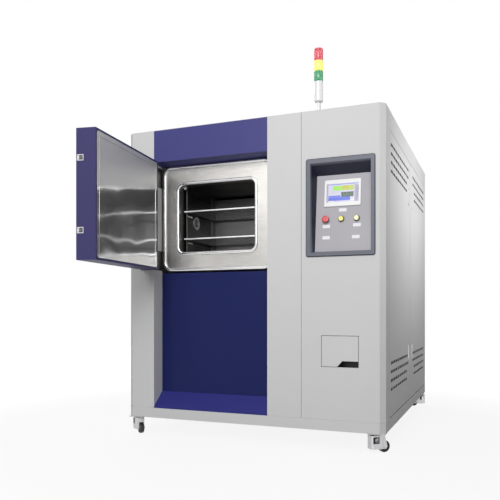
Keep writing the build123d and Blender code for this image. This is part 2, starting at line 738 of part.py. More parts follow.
def make_condenser_fan():
    """Make the five-bladed condenser fan with twisted blades."""
    x, z = CONDENSER_CENTRE
    front = CONDENSER_FRONT_Y + 70
    fan = rod((x, front, z), (x, front + 40, z), 50)
    for index in range(5):
        blade = block(45, CONDENSER_FAN_RADIUS, -2, 2, -45, 45)
        blade = Rot(28, 0, 0) * blade
        blade = Pos(0, front + 20, 0) * blade
        fan += Pos(x, 0, z) * (Rot(0, index * 72, 0) * blade)
    return fan + rod((x, front + 40, z), (x, front + 76, z), 7)


def make_electrical_panel():
    """Make the back plate with its rows of switchgear."""
    plate_x = 1122.0
    panel = block(plate_x, plate_x + 3, 220, 900, 460, 1380)
    base = plate_x + 3
    for row, level in enumerate((520.0, 720.0, 920.0, 1120.0)):
        panel += block(base, base + 8, 250, 870, level + 28, level + 62)
        for index in range(8 - row):
            y = 262 + index * 72
            panel += block(base + 8, base + 70 - 6 * row, y, y + 56, level, level + 90)
    panel += block(base, base + 45, 300, 640, 1260, 1360)
    return panel


def swing(shape):
    """Turn a piece of the closed door about the hinge to where it stands."""
    axis = Axis((HINGE_X, HINGE_Y, 0), (0, 0, 1))
    return shape.rotate(axis, -DOOR_OPEN_ANGLE)


def make_door_shell():
    """Make the door pan with its tapered closing edge and inner lip."""
    outline = [
        (DOOR_LEFT, DOOR_FRONT_Y),
        (DOOR_RIGHT, DOOR_FRONT_Y),
        (DOOR_RIGHT - DOOR_EDGE_TAPER, DOOR_BACK_Y - SHEET),
        (DOOR_LEFT, DOOR_BACK_Y - SHEET),
    ]
    shell = plan_prism(outline, DOOR_BOTTOM, DOOR_TOP)
    shell = fillet(shell.edges().filter_by(Axis.Z).group_by(Axis.Y)[0], 6)
    wall = SHEET
    inner = [
        (DOOR_LEFT + wall, DOOR_FRONT_Y + wall),
        (DOOR_RIGHT - wall, DOOR_FRONT_Y + wall),
        (DOOR_RIGHT - DOOR_EDGE_TAPER - wall, DOOR_BACK_Y - 2 * SHEET),
        (DOOR_LEFT + wall, DOOR_BACK_Y - 2 * SHEET),
    ]
    shell -= plan_prism(inner, DOOR_BOTTOM + wall, DOOR_TOP - wall)
    lip = 24.0
    shell -= block(DOOR_LEFT + lip, DOOR_RIGHT - DOOR_EDGE_TAPER - lip, DOOR_BACK_Y - 3 * SHEET,
                   DOOR_BACK_Y, DOOR_BOTTOM + lip, DOOR_TOP - lip)
    for z in LATCH_HEIGHTS:
        hollow = block(DOOR_RIGHT - 46, DOOR_RIGHT + 5, LATCH_Y - 9, LATCH_Y + 9, z - 11, z + 11)
        shell -= hollow
    x, z = handle_centre()
    shell -= rod((x, DOOR_FRONT_Y - 5, z), (x, DOOR_FRONT_Y + 16, z), 11)
    return shell


def make_door_liner():
    """Make the stainless inner face with its raised border."""
    left = DOOR_LEFT + 14
    right = DOOR_RIGHT - DOOR_EDGE_TAPER - 12
    bottom = DOOR_BOTTOM + 12
    top = DOOR_TOP - 12
    centre_x = (left + right) / 2
    centre_z = (bottom + top) / 2
    back = DOOR_BACK_Y
    liner = rounded_prism(centre_x, centre_z, right - left, top - bottom, 14, back - SHEET, back)
    border = rounded_prism(centre_x, centre_z, right - left - 36, top - bottom - 36, 12, back, back + 1.5)
    border -= rounded_prism(centre_x, centre_z, right - left - 48, top - bottom - 48, 8, back - 1, back + 3)
    return liner + border


def handle_centre():
    """Return the x and z of the handle's pivot on the closed door."""
    return DOOR_RIGHT - HANDLE_INSET, (DOOR_BOTTOM + DOOR_TOP) / 2


def make_door_handle():
    """Make the lever handle: pivot boss, arm and tapered grip."""
    x, z = handle_centre()
    face = DOOR_FRONT_Y
    handle = rod((x, face - 26, z), (x, face - 7, z), 24)
    handle += rod((x, face - 7, z), (x, face + 14, z), 10)
    handle += rod((x, face - 50, z), (x, face - 26, z), 15)
    grip_plane = Plane(origin=(x, face - 50, z), x_dir=(0, 1, 0), z_dir=(-1, 0, 0))
    near = grip_plane * RectangleRounded(24, 34, 9)
    far = grip_plane.offset(175) * RectangleRounded(17, 24, 7)
    handle += loft([near, far])
    handle += rod((x, face - 62, z), (x, face - 38, z), 19)
    return handle


def make_handle_plate():
    """Make the round plate under the handle."""
    x, z = handle_centre()
    plate = rod((x, DOOR_FRONT_Y - 6, z), (x, DOOR_FRONT_Y, z), 34)
    return plate - rod((x, DOOR_FRONT_Y - 9, z), (x, DOOR_FRONT_Y + 9, z), 10.5)


def make_latch_bolts():
    """Make the two bolts that the handle drives out of the door's edge."""
    bolts = []
    for z in LATCH_HEIGHTS:
        tip = DOOR_RIGHT + 1.0
        bolt = block(tip - 32, tip, LATCH_Y - 7, LATCH_Y + 7, z - 9, z + 9)
        bolt = chamfer(bolt.faces().sort_by(Axis.X)[-1].edges(), 2)
        bolts.append(bolt)
    return Compound(bolts)


def make_strikes():
    """Make the strike plates in the edge of the middle column."""
    plates = []
    for z in LATCH_HEIGHTS:
        x = RECESS_RIGHT + SHEET
        cup = block(x, x + 22, LATCH_Y - 3.9, LATCH_Y + 19, z - 20, z + 20)
        cup -= block(x - 1, x + 19, LATCH_Y - 1 - 9, LATCH_Y + 15, z - 16, z + 16)
        plates.append(cup)
    return plates


def hinge_levels(centre):
    """Return the bottom, lower joint, upper joint and top of one hinge."""
    half = HINGE_HEIGHT / 2
    third = HINGE_HEIGHT / 4
    return centre - half, centre - third, centre + third, centre + half


def make_hinge_brackets():
    """Make the cabinet halves of both hinges, with their pins."""
    group = []
    for centre in HINGE_CENTRES:
        low, lower, upper, high = hinge_levels(centre)
        bracket = block(92, RECESS_LEFT, -8, 0, low, high)
        bracket += block(RECESS_LEFT, RECESS_LEFT + 3, -8, RECESS_DEPTH - 6, low, high)
        for start, end in ((low, lower), (upper, high)):
            bracket += rod((HINGE_X, HINGE_Y, start), (HINGE_X, HINGE_Y, end), KNUCKLE_RADIUS)
            bracket += block(HINGE_X - 13, HINGE_X + 13, HINGE_Y, -8, start, end)
        bracket += rod((HINGE_X, HINGE_Y, low - 4), (HINGE_X, HINGE_Y, high + 4), HINGE_PIN_RADIUS)
        group.append(bracket)
    return group


def make_hinge_straps():
    """Make the door halves of both hinges, drawn on the closed door."""
    group = []
    for centre in HINGE_CENTRES:
        _, lower, upper, _ = hinge_levels(centre)
        low = lower + MOVING_GAP
        high = upper - MOVING_GAP
        strap = rod((HINGE_X, HINGE_Y, low), (HINGE_X, HINGE_Y, high), KNUCKLE_RADIUS)
        arm = [
            (HINGE_X, HINGE_Y - KNUCKLE_RADIUS),
            (DOOR_LEFT + 30, DOOR_FRONT_Y - 10),
            (DOOR_LEFT + 130, DOOR_FRONT_Y - 10),
            (DOOR_LEFT + 130, DOOR_FRONT_Y),
            (DOOR_LEFT - 10, DOOR_FRONT_Y),
            (HINGE_X + 6, HINGE_Y + 6),
        ]
        strap += plan_prism(arm, low, high)
        strap -= rod((HINGE_X, HINGE_Y, low - 1), (HINGE_X, HINGE_Y, high + 1), HINGE_PIN_RADIUS + FIT_GAP)
        group.append(strap)
    return Compound(group)


def plate_place(across, up, out=0.0):
    """Return the location of a point on the sloping control plate."""
    origin = Pos(PLATE_LEFT, PLATE_BOTTOM_Y, PLATE_BOTTOM_Z)
    tilt = Rot(90 - PLATE_TILT, 0, 0)
    return origin * tilt * Pos(across, up, out)


def make_control_bezel():
    """Make the moulded frame with the tapered walls of its recess."""
    x0, x1, z0, z1 = BEZEL_BOX
    px0, px1, pz0, pz1 = POCKET_BOX
    front = -BEZEL_PROUD
    centre_x = (x0 + x1) / 2
    centre_z = (z0 + z1) / 2
    rim = rounded_prism(centre_x, centre_z, x1 - x0, z1 - z0, 12, front, 0)
    rim = fillet(rim.faces().sort_by(Axis.Y)[0].edges(), 5)
    tub = block(px0 - 5, px1 + 5, 0, 80, pz0 - 5, pz1 + 5)
    mouth = [(px0, pz0), (px1, pz0), (px1, pz1), (px0, pz1)]
    mouth_wire = Wire.make_polygon([Vector(x, front, z) for x, z in mouth])
    corners = [(0, 0), (PLATE_WIDTH, 0), (PLATE_WIDTH, PLATE_HEIGHT), (0, PLATE_HEIGHT)]
    floor_points = [plate_place(a, b).position for a, b in corners]
    floor_wire = Wire.make_polygon(floor_points)
    hollow = Solid.make_loft([mouth_wire, floor_wire], True)
    back_cut = plate_place(0, 0, 0) * Pos(PLATE_WIDTH / 2, PLATE_HEIGHT / 2, -100)
    behind = back_cut * Box(PLATE_WIDTH + 200, PLATE_HEIGHT + 200, 200)
    return rim + (tub - behind) - hollow


def make_control_plate():
    """Make the sloping plate with its screen and button holes."""
    middle = plate_place(PLATE_WIDTH / 2, PLATE_HEIGHT / 2, -PLATE_THICKNESS / 2)
    plate = middle * Box(PLATE_WIDTH + 6, PLATE_HEIGHT + 6, PLATE_THICKNESS)
    across, up = SCREEN_CENTRE
    hole = plate_place(across, up, 0) * Box(SCREEN_SIZE[0] - 16, SCREEN_SIZE[1] - 16, 20)
    plate -= hole
    for column in BUTTON_COLUMNS.values():
        plate -= plate_place(column, BUTTON_ROW, 0) * Cylinder(11, 20)
    return plate


def make_touch_screen():
    """Make the operator panel with its bezel and rear body."""
    across, up = SCREEN_CENTRE
    width, height = SCREEN_SIZE
    face = plate_place(across, up, 0)
    bezel = extrude(Plane(face) * RectangleRounded(width, height, 6), 6)
    bezel = chamfer(bezel.edges().filter_by(lambda edge: edge.length > 60).sort_by(Axis.Y)[:4], 1.5)
    bezel += face * Pos(0, 0, -20) * Box(width - 18, height - 18, 40)
    bezel -= face * Pos(0, 0, 6) * Box(width - 24, height - 46, 3)
    return bezel


def make_button_collars():
    """Make the three dark collars with their switch bodies."""
    group = []
    for column in BUTTON_COLUMNS.values():
        place = plate_place(column, BUTTON_ROW, 0)
        collar = place * Pos(0, 0, 2.5) * Cylinder(17, 5)
        collar += place * Pos(0, 0, -20) * Cylinder(10.5, 40)
        collar += place * Pos(0, 0, -48) * Box(30, 40, 24)
        collar -= place * Pos(0, 0, -5) * Cylinder(8, 32)
        group.append(collar)
    return Compound(group)


def make_emergency_stop():
    """Make the mushroom head with its stem."""
    place = plate_place(BUTTON_COLUMNS["emergency_stop"], BUTTON_ROW, 0)
    head = place * Pos(0, 0, 18) * Cylinder(19, 10)
    head = fillet(head.edges().sort_by(Axis.Y)[:1], 4)
    head += place * Pos(0, 0, 2) * Cylinder(7.5, 26)
    return head


def make_push_button(name):
    """Make one short push button with its stem."""
    place = plate_place(BUTTON_COLUMNS[name], BUTTON_ROW, 0)
    cap = place * Pos(0, 0, 11) * Cylinder(13, 4)
    return cap + place * Cylinder(7.5, 22)


def make_hatch():
    """Make the flap with its finger notch."""
    x0, x1, z0, z1 = HATCH_BOX
    low_x, high_x = HATCH_NOTCH_X
    points = [(x0, z0), (low_x, z0), (high_x, HATCH_NOTCH_TOP), (x1, HATCH_NOTCH_TOP), (x1, z1), (x0, z1)]
    plane = Plane(origin=(0, 0, 0), x_dir=(1, 0, 0), z_dir=(0, -1, 0))
    flap = extrude(plane * make_face(Polyline(points, close=True)), -SHEET)
    upright = [e for e in flap.edges().filter_by(Axis.Y) if e.center().Z > z1 - 1]
    flap = fillet(upright, 5)
    flap += block(x0 + 12, x1 - 3, SHEET, 12, z1 - 5, z1 - 3)
    x = x0 + HATCH_PIN[0]
    y = HATCH_PIN[1]
    flap += rod((x, y, z0 + 2), (x, y, z1 - 6), HATCH_ROLL_RADIUS)
    return flap + rod((x, y, z0 - 6.5), (x, y, z1 + 6.5), HATCH_PIN_RADIUS)


def make_hatch_pocket():
    """Make the shallow box behind the flap."""
    x0, x1, z0, z1 = HATCH_BOX
    pocket = block(x0 - 7, x1 + 7, SHEET, POCKET_DEPTH, z0 - 7, z1 + 7)
    pocket -= block(x0 - 5, x1 + 5, 0, POCKET_DEPTH - 2, z0 - 5, z1 + 5)
    x = x0 + HATCH_PIN[0]
    y = HATCH_PIN[1]
    pocket -= rod((x, y, z0 - 9), (x, y, z1 + 9), HATCH_PIN_RADIUS + FIT_GAP)
    for index in range(3):
        x = x0 + 45 + index * 50
        pocket += block(x - 14, x + 14, POCKET_DEPTH - 8, POCKET_DEPTH - 2, z1 - 80, z1 - 52)
    return pocket


def slot_starts(low, high, count):
    """Return the starts of evenly spread slots between two places."""
    pitch = (high - low - SLOT_LENGTH) / (count - 1)
    return [low + pitch * index for index in range(count)]


def make_service_door(limits, free_edge, slots):
    """Make one vented service door with folded edges and latch cups."""
    y0, y1 = limits
    z0 = SERVICE_BOTTOM
    z1 = SERVICE_TOP
    inner = WIDTH - SERVICE_FOLD
    door = block(inner, WIDTH, y0, y1, z0, z1)
    door -= block(inner - 1, WIDTH - SHEET, y0 + SHEET, y1 - SHEET, z0 + SHEET, z1 - SHEET)
    if free_edge == y1:
        low, high = y0 + 55, y1 - 77
    else:
        low, high = y0 + 130, y1 - 76
    for base in SLOT_ROW_BASES:
        for row in range(SLOT_ROWS):
            level = base + row * SLOT_ROW_PITCH
            for start in slot_starts(low, high, slots):
                if abs(start + SLOT_LENGTH / 2 - latch_y(free_edge)) > 60 or row > 1:
                    door -= block(WIDTH - 9, WIDTH + 9, start, start + SLOT_LENGTH,
                                  level - SLOT_HEIGHT / 2, level + SLOT_HEIGHT / 2)
    y = latch_y(free_edge)
    half = LATCH_PADDLE[0] / 2 + LATCH_CLEARANCE
    reach = LATCH_PADDLE[1] / 2 + LATCH_CLEARANCE
    wall = LATCH_CUP_WALL
    floor = WIDTH - LATCH_CUP_DEPTH
    for z in LATCH_CENTRES_Z.values():
        door += block(floor - SHEET, WIDTH - SHEET, y - half - wall, y + half + wall,
                      z - reach - wall, z + reach + wall)
        door -= block(floor, WIDTH + 9, y - half, y + half, z - reach, z + reach)
        pin_z = latch_pin_height(z)
        door -= rod((LATCH_PIN_X, y - half - 2, pin_z), (LATCH_PIN_X, y + half + 2, pin_z),
                    LATCH_PIN_RADIUS + FIT_GAP)
    pivot = y0 + SERVICE_PIN_INSET if free_edge == y1 else y1 - SERVICE_PIN_INSET
    x = WIDTH - SERVICE_PIN_INSET
    for low, high in ((z0 - 10, z0 + 12), (z1 - 12, z1 + 4.5)):
        door += rod((x, pivot, low), (x, pivot, high), SERVICE_PIN_RADIUS)
    return door


def latch_y(free_edge):
    """Return the y of the latches beside a door's free edge."""
    if free_edge == SERVICE_FRONT_Y[1]:
        return free_edge - LATCH_INSET
    return free_edge + LATCH_INSET + REAR_LATCH_STEP


def latch_pin_height(z):
    """Return the height of the pivot pin of a latch centred at z."""
    return z + LATCH_PADDLE[1] / 2 - LATCH_PIN_DROP


def make_service_latch(free_edge, z):
    """Make one pull paddle with a finger notch, hinged at its top in the latch cup."""
    y = latch_y(free_edge)
    half = LATCH_PADDLE[0] / 2
    low = z - LATCH_PADDLE[1] / 2
    high = z + LATCH_PADDLE[1] / 2
    paddle = block(WIDTH - 6, WIDTH, y - half, y + half, low, high)
    paddle -= block(WIDTH - 9, WIDTH + 2, y - half + 6, y + half - 6, low - 1, low + 16)
    pin_z = latch_pin_height(z)
    near = (LATCH_PIN_X, y - half - 3.5, pin_z)
    far = (LATCH_PIN_X, y + half + 3.5, pin_z)
    return paddle + rod(near, far, LATCH_PIN_RADIUS)


def make_tower_base():
    """Make the tower light's foot, stem and white body."""
    base = BODY_HEIGHT
    stem_top = base + TOWER_STEM
    foot = rod((TOWER_X, TOWER_Y, base), (TOWER_X, TOWER_Y, base + 6), 24)
    foot += rod((TOWER_X, TOWER_Y, base + 6), (TOWER_X, TOWER_Y, stem_top), 12)
    body = rod((TOWER_X, TOWER_Y, stem_top), (TOWER_X, TOWER_Y, stem_top + TOWER_BODY), TOWER_RADIUS)
    body = chamfer(body.edges().filter_by(GeomType.CIRCLE).sort_by(Axis.Z)[0], 5)
    return foot + body + rod((TOWER_X, TOWER_Y, base - 12), (TOWER_X, TOWER_Y, base), 7.5)


def make_tower_lenses():
    """Make the three stacked lamp modules and their cap."""
    base = BODY_HEIGHT + TOWER_STEM + TOWER_BODY
    group = []
    for index in range(3):
        low = base + index * TOWER_MODULE
        lens = rod((TOWER_X, TOWER_Y, low), (TOWER_X, TOWER_Y, low + TOWER_MODULE), TOWER_RADIUS)
        groove = ring((TOWER_X, TOWER_Y, low), (TOWER_X, TOWER_Y, low + 3),
                      TOWER_RADIUS + 2, TOWER_RADIUS - 1.5)
        group.append(lens - groove)
    top = base + 3 * TOWER_MODULE
    cap = rod((TOWER_X, TOWER_Y, top), (TOWER_X, TOWER_Y, top + TOWER_CAP), TOWER_RADIUS)
    group.append(chamfer(cap.edges().filter_by(GeomType.CIRCLE).sort_by(Axis.Z)[-1], 6))
    return Compound(group)


def caster_place(name):
    """Return where a caster stands: origin under its plate, x trailing."""
    x, y, angle = CASTERS[name]
    return Pos(x, y, 0) * Rot(0, 0, angle)


def make_caster_housing(name):
    """Make the cast body with its cheeks, window and axle."""
    top = CASTER_BODY_TOP - MOVING_GAP
    axle_z = WHEEL_RADIUS - CASTER_HEIGHT
    half = WHEEL_WIDTH / 2 + 1.5
    body = block(*CASTER_BODY_PLAN, CASTER_BODY_BOTTOM, top)
    body = fillet(body.edges().filter_by(Axis.Z), CASTER_BODY_ROUNDING)
    side = [
        (-20, top),
        (34, top),
        (WHEEL_TRAIL + 12, axle_z),
        (WHEEL_TRAIL + 4, axle_z - 12),
        (8, CASTER_BODY_BOTTOM),
        (-20, CASTER_BODY_BOTTOM),
    ]
    outside = half + CASTER_CHEEK
    plane = Plane(origin=(0, outside, 0), x_dir=(1, 0, 0), z_dir=(0, -1, 0))
    cheeks = extrude(plane * make_face(Polyline(side, close=True)), 2 * outside)
    body += cheeks
    body -= rod((WHEEL_TRAIL, -half, axle_z), (WHEEL_TRAIL, half, axle_z), WHEEL_RADIUS + 3)
    low, high = CASTER_WINDOW
    body -= block(PAD_OFFSET - 19, PAD_OFFSET + 19, -40, 40, low, high)
    body -= rod((PAD_OFFSET, 0, CASTER_BODY_BOTTOM - 1), (PAD_OFFSET, 0, top + 1),
                PAD_STUD_RADIUS + MOVING_GAP)
    pocket_top = PAD_CLEARANCE - CASTER_HEIGHT + PAD_THICKNESS + 1
    body -= rod((PAD_OFFSET, 0, CASTER_BODY_BOTTOM - 1), (PAD_OFFSET, 0, pocket_top), PAD_RADIUS + 1.5)
    axle_end = outside + 4
    body += rod((WHEEL_TRAIL, -axle_end, axle_z), (WHEEL_TRAIL, axle_end, axle_z), AXLE_RADIUS)
    return caster_place(name) * body


def make_caster_wheel(name):
    """Make one wheel with its crowned tread and bored hub."""
    axle_z = WHEEL_RADIUS - CASTER_HEIGHT
    half = WHEEL_WIDTH / 2
    profile = make_face(Polyline([
        (AXLE_RADIUS + FIT_GAP, -half),
        (14, -half),
        (16, -half + 4),
        (24, -half + 4),
        (26, -half),
        (WHEEL_RADIUS - 3, -half),
        (WHEEL_RADIUS, -half + 4),
        (WHEEL_RADIUS, half - 4),
        (WHEEL_RADIUS - 3, half),
        (26, half),
        (24, half - 4),
        (16, half - 4),
        (14, half),
        (AXLE_RADIUS + FIT_GAP, half),
    ], close=True))
    wheel = revolve(profile, Axis.Y)
    return caster_place(name) * Pos(WHEEL_TRAIL, 0, axle_z) * wheel


def make_caster_pad(name):
    """Make the levelling pad with its stud and ratchet wheel."""
    bottom = PAD_CLEARANCE - CASTER_HEIGHT
    x = PAD_OFFSET
    pad = rod((x, 0, bottom), (x, 0, bottom + PAD_THICKNESS), PAD_RADIUS)
    pad = chamfer(pad.edges().filter_by(GeomType.CIRCLE).sort_by(Axis.Z)[-1], 3)
    pad += rod((x, 0, bottom + PAD_THICKNESS), (x, 0, CASTER_BODY_TOP - 5), PAD_STUD_RADIUS)
    nut_top = CASTER_WINDOW[1] - 2
    pad += rod((x, 0, nut_top - PAD_NUT_HEIGHT), (x, 0, nut_top), PAD_NUT_RADIUS)
    return caster_place(name) * pad


def collect():
    """Build every node of the machine, in cabinet coordinates."""
    nodes = {
        "welded_frame": Compound(make_base_frame() + [make_floor_pan()] + make_body_frame()),
        "left_column": make_left_column(),
        "middle_column": make_middle_column(),
        "header_panel": make_header_panel(),
        "lower_panel": make_lower_panel(),
        "control_front_panel": make_control_front_panel(),
        "left_side_panel": make_left_side_panel(),
        "rear_panel": make_rear_panel(),
        "top_cover": make_top_cover(),
        "side_frame": make_side_frame(),
        "door_seals": Compound([make_outer_seal(), make_inner_seal()]),
        "chamber_liner": Compound(make_liner() + [make_front_frame()]),
        "insulation": Compound(make_insulation()),
        "air_panel": Compound(make_air_panel()),
        "port_sleeve": make_port_sleeve(),
        "fan_motor": make_fan_motor(),
        "heater": make_heater(),
        "evaporator": make_evaporator(),
        "compressors": make_compressors(),
        "condenser": make_condenser(),
        "electrical_panel": make_electrical_panel(),
        "control_bezel": make_control_bezel(),
        "control_plate": make_control_plate(),
        "touch_screen": make_touch_screen(),
        "button_collars": make_button_collars(),
        "hatch_pocket": make_hatch_pocket(),
        "tower_base": make_tower_base(),
        "tower_lenses": make_tower_lenses(),
        "door_fixings": Compound(make_strikes() + make_hinge_brackets()),
        "circulation_fan": make_circulation_fan(),
        "condenser_fan": make_condenser_fan(),
        "emergency_stop": make_emergency_stop(),
        "reset_button": make_push_button("reset_button"),
        "lamp_button": make_push_button("lamp_button"),
        "hatch": make_hatch(),
        "service_door_front": make_service_door(SERVICE_FRONT_Y, SERVICE_FRONT_Y[1], 9),
        "service_door_rear": make_service_door(SERVICE_REAR_Y, SERVICE_REAR_Y[0], 8),
    }
    door_pieces = {
        "door_shell": make_door_shell() + make_handle_plate(),
        "door_liner": make_door_liner(),
        "hinge_straps": make_hinge_straps(),
        "door_handle": make_door_handle(),
        "latch_bolts": make_latch_bolts(),
    }
    for name, piece in door_pieces.items():
        nodes[name] = swing(piece)
    for name, level in SHELF_HEIGHTS.items():
        nodes["shelf_" + name] = make_shelf(level)
    for name, z in LATCH_CENTRES_Z.items():
        nodes["latch_front_" + name] = make_service_latch(SERVICE_FRONT_Y[1], z)
        nodes["latch_rear_" + name] = make_service_latch(SERVICE_REAR_Y[0], z)
    for name in CASTERS:
        nodes["caster_housing_" + name] = make_caster_housing(name)
        nodes["caster_wheel_" + name] = make_caster_wheel(name)
        nodes["caster_pad_" + name] = make_caster_pad(name)
    return nodes


def export_nodes(nodes):
    """Move every node to the floor-level origin and write its STEP."""
    os.makedirs("parts", exist_ok=True)
    place = Pos(SHIFT_X, SHIFT_Y, CASTER_HEIGHT)
    for name, shape in nodes.items():
        export_step(place * shape, "parts/" + name + ".step")


export_nodes(collect())
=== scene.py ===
"""Dress the environmental test chamber: finishes, small fittings, studio.

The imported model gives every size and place. Cabinet coordinates are used for
the fittings: x from the left side, y back from the front face and z up from
the underside of the base frame, all in metres.
"""

import logging
import math
from dataclasses import dataclass
from enum import Enum
from typing import Callable, Sequence

import bmesh
import bpy
from bpy.types import Material, Mesh, Node, NodeSocket, NodeTree, Object
from mathutils import Matrix, Vector


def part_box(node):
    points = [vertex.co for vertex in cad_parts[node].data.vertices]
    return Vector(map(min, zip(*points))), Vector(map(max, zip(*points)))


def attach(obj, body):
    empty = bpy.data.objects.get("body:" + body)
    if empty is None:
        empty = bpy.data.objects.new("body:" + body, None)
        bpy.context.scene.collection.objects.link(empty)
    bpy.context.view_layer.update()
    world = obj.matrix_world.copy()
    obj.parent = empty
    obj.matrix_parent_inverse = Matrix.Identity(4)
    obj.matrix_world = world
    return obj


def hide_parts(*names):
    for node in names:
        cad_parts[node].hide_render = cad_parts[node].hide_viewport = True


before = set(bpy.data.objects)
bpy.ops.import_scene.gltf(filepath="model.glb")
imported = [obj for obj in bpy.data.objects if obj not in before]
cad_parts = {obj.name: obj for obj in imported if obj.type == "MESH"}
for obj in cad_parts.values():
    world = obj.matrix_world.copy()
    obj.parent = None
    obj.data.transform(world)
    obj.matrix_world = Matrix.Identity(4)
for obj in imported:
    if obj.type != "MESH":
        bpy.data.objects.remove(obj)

LOG = logging.getLogger("test_chamber")
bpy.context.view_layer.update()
RENDER_PIXELS = 500
CASTER_CORNERS = ("front_left", "front_right", "rear_left", "rear_right")
PALE_SHARE = 1.07
DARK_SHARE = 0.93
Pair = tuple[float, float]
Triple = tuple[float, float, float]


class Grain(Enum):
    """Direction in which a metal is brushed."""

    ACROSS = (2.0, 2.0, 160.0)
    UPRIGHT = (160.0, 160.0, 2.0)
    DEEP = (160.0, 2.0, 160.0)


class Carrier(Enum):
    """Bodies that the fittings ride on."""

    CABINET = "cabinet"
    DOOR = "chamber_door"


def _operator(operation: str, swapped: bool = False) -> Callable[["Signal", object], "Signal"]:
    """Return a method that joins a signal with a value or another signal."""

    def method(self: "Signal", other: object) -> "Signal":
        operands = (other, self) if swapped else (self, other)
        return self.shader.maths(operation, *operands)

    return method


class Signal:
    """One output of a shader node, with arithmetic that adds Math nodes.

    The methods above and below give 1 where it is over or under a limit.
    """

    def __init__(self, shader: "Shader", socket: NodeSocket) -> None:
        """Wrap a socket of a shader."""
        self.shader = shader
        self.socket = socket

    __add__, __radd__ = _operator("ADD"), _operator("ADD", True)
    __sub__, __rsub__ = _operator("SUBTRACT"), _operator("SUBTRACT", True)
    __mul__, __rmul__ = _operator("MULTIPLY"), _operator("MULTIPLY", True)
    above, below = _operator("GREATER_THAN"), _operator("LESS_THAN")

    def ramp(self, start: float, end: float) -> "Signal":
        """Return a soft step from 0 at start to 1 at end."""
        inputs = {"Value": self, "From Min": start, "From Max": end}
        return self.shader.signal("ShaderNodeMapRange", inputs, interpolation_type="SMOOTHSTEP")


class NodeGraph:
    """A node tree under construction."""

    def __init__(self, tree: NodeTree) -> None:
        """Keep the tree."""
        self.tree = tree

    def feed(self, target: NodeSocket, value: object) -> None:
        """Link a signal or a socket to an input, or set its plain value."""
        source = value.socket if isinstance(value, Signal) else value
        if isinstance(source, NodeSocket):
            self.tree.links.new(source, target)
        else:
            target.default_value = source

    def node(
        self, kind: str, inputs: dict[object, object] | None = None, **settings: object
    ) -> Node:
        """Add one node.

        Args:
            kind: The node's type.
            inputs: Values, sockets or signals for its inputs, by name or index.
            settings: Properties that are set before the inputs.

        Returns:
            The new node.
        """
        made = self.tree.nodes.new(kind)
        for key, value in settings.items():
            setattr(made, key, value)
        for key, value in (inputs or {}).items():
            self.feed(made.inputs[key], value)
        return made


class Shader(NodeGraph):
    """A material under construction, with its Principled surface."""

    def __init__(self, name: str) -> None:
        """Create the material and its surface node."""
        self.material = bpy.data.materials.new(name)
        self.material.use_nodes = True
        super().__init__(self.material.node_tree)
        self.tree.nodes.clear()
        self.surface = self.tree.nodes.new("ShaderNodeBsdfPrincipled")
        output = self.tree.nodes.new("ShaderNodeOutputMaterial")
        self.tree.links.new(self.surface.outputs[0], output.inputs["Surface"])

    def signal(
        self, kind: str, inputs: dict[object, object], output: int | str = 0, **settings: object
    ) -> Signal:
        """Add one node and return one of its outputs."""
        return Signal(self, self.node(kind, inputs, **settings).outputs[output])

    def maths(self, operation: str, *operands: object) -> Signal:
        """Return the result of a Math node on values or signals."""
        return self.signal("ShaderNodeMath", dict(enumerate(operands)), operation=operation)

    def place(self, scale: Triple = (1.0, 1.0, 1.0)) -> Signal:
        """Return the object coordinates, scaled along each axis."""
        source = self.signal("ShaderNodeTexCoord", {}, "Object")
        return self.signal("ShaderNodeMapping", {"Vector": source, "Scale": scale})

    def axis(self, name: str) -> Signal:
        """Return one object coordinate, X, Y or Z."""
        return self.signal("ShaderNodeSeparateXYZ", {0: self.place()}, name)

    def noise(self, scale: float, detail: float = 2.0, stretch: Triple = (1, 1, 1)) -> Signal:
        """Return a noise pattern between 0 and 1 on the object coordinates.

        Args:
            scale: Cells per metre.
            detail: Octaves of finer noise.
            stretch: Scale of each axis before the pattern.
        """
        inputs = {"Vector": self.place(stretch), "Scale": scale, "Detail": detail}
        return self.signal("ShaderNodeTexNoise", inputs, "Fac")

    def blend(self, factor: Signal, low: Sequence[float], high: Sequence[float]) -> Signal:
        """Return a colour between two colours."""
        ramp = self.node("ShaderNodeValToRGB", {"Fac": factor})
        for element, colour in zip(ramp.color_ramp.elements, (low, high)):
            element.color = (*colour, 1.0)
        return Signal(self, ramp.outputs["Color"])

    def clouded(self, factor: Signal, colour: Triple, low: float, high: float) -> Signal:
        """Return a colour that a pattern makes darker and lighter."""
        return self.blend(factor, shade(colour, low), shade(colour, high))

    def mixed(self, factor: Signal, low: Signal, high: Sequence[float]) -> Signal:
        """Return a varying colour that turns into a plain one."""
        inputs = {0: factor, 6: low, 7: (*high, 1.0)}
        return self.signal("ShaderNodeMix", inputs, 2, data_type="RGBA")

    def bump(self, height: Signal, strength: float, distance: float) -> Signal:
        """Return a normal bent by a height."""
        inputs = {"Height": height, "Strength": strength, "Distance": distance}
        return self.signal("ShaderNodeBump", inputs, "Normal")

    def surface_set(self, **sockets: object) -> None:
        """Set sockets of the surface; an underscore stands for a space."""
        for key, value in sockets.items():
            self.feed(self.surface.inputs[key.replace("_", " ")], value)


def shade(colour: Sequence[float], factor: float) -> tuple[float, ...]:
    """Return a colour made darker or lighter."""
    return tuple(min(1.0, channel * factor) for channel in colour)


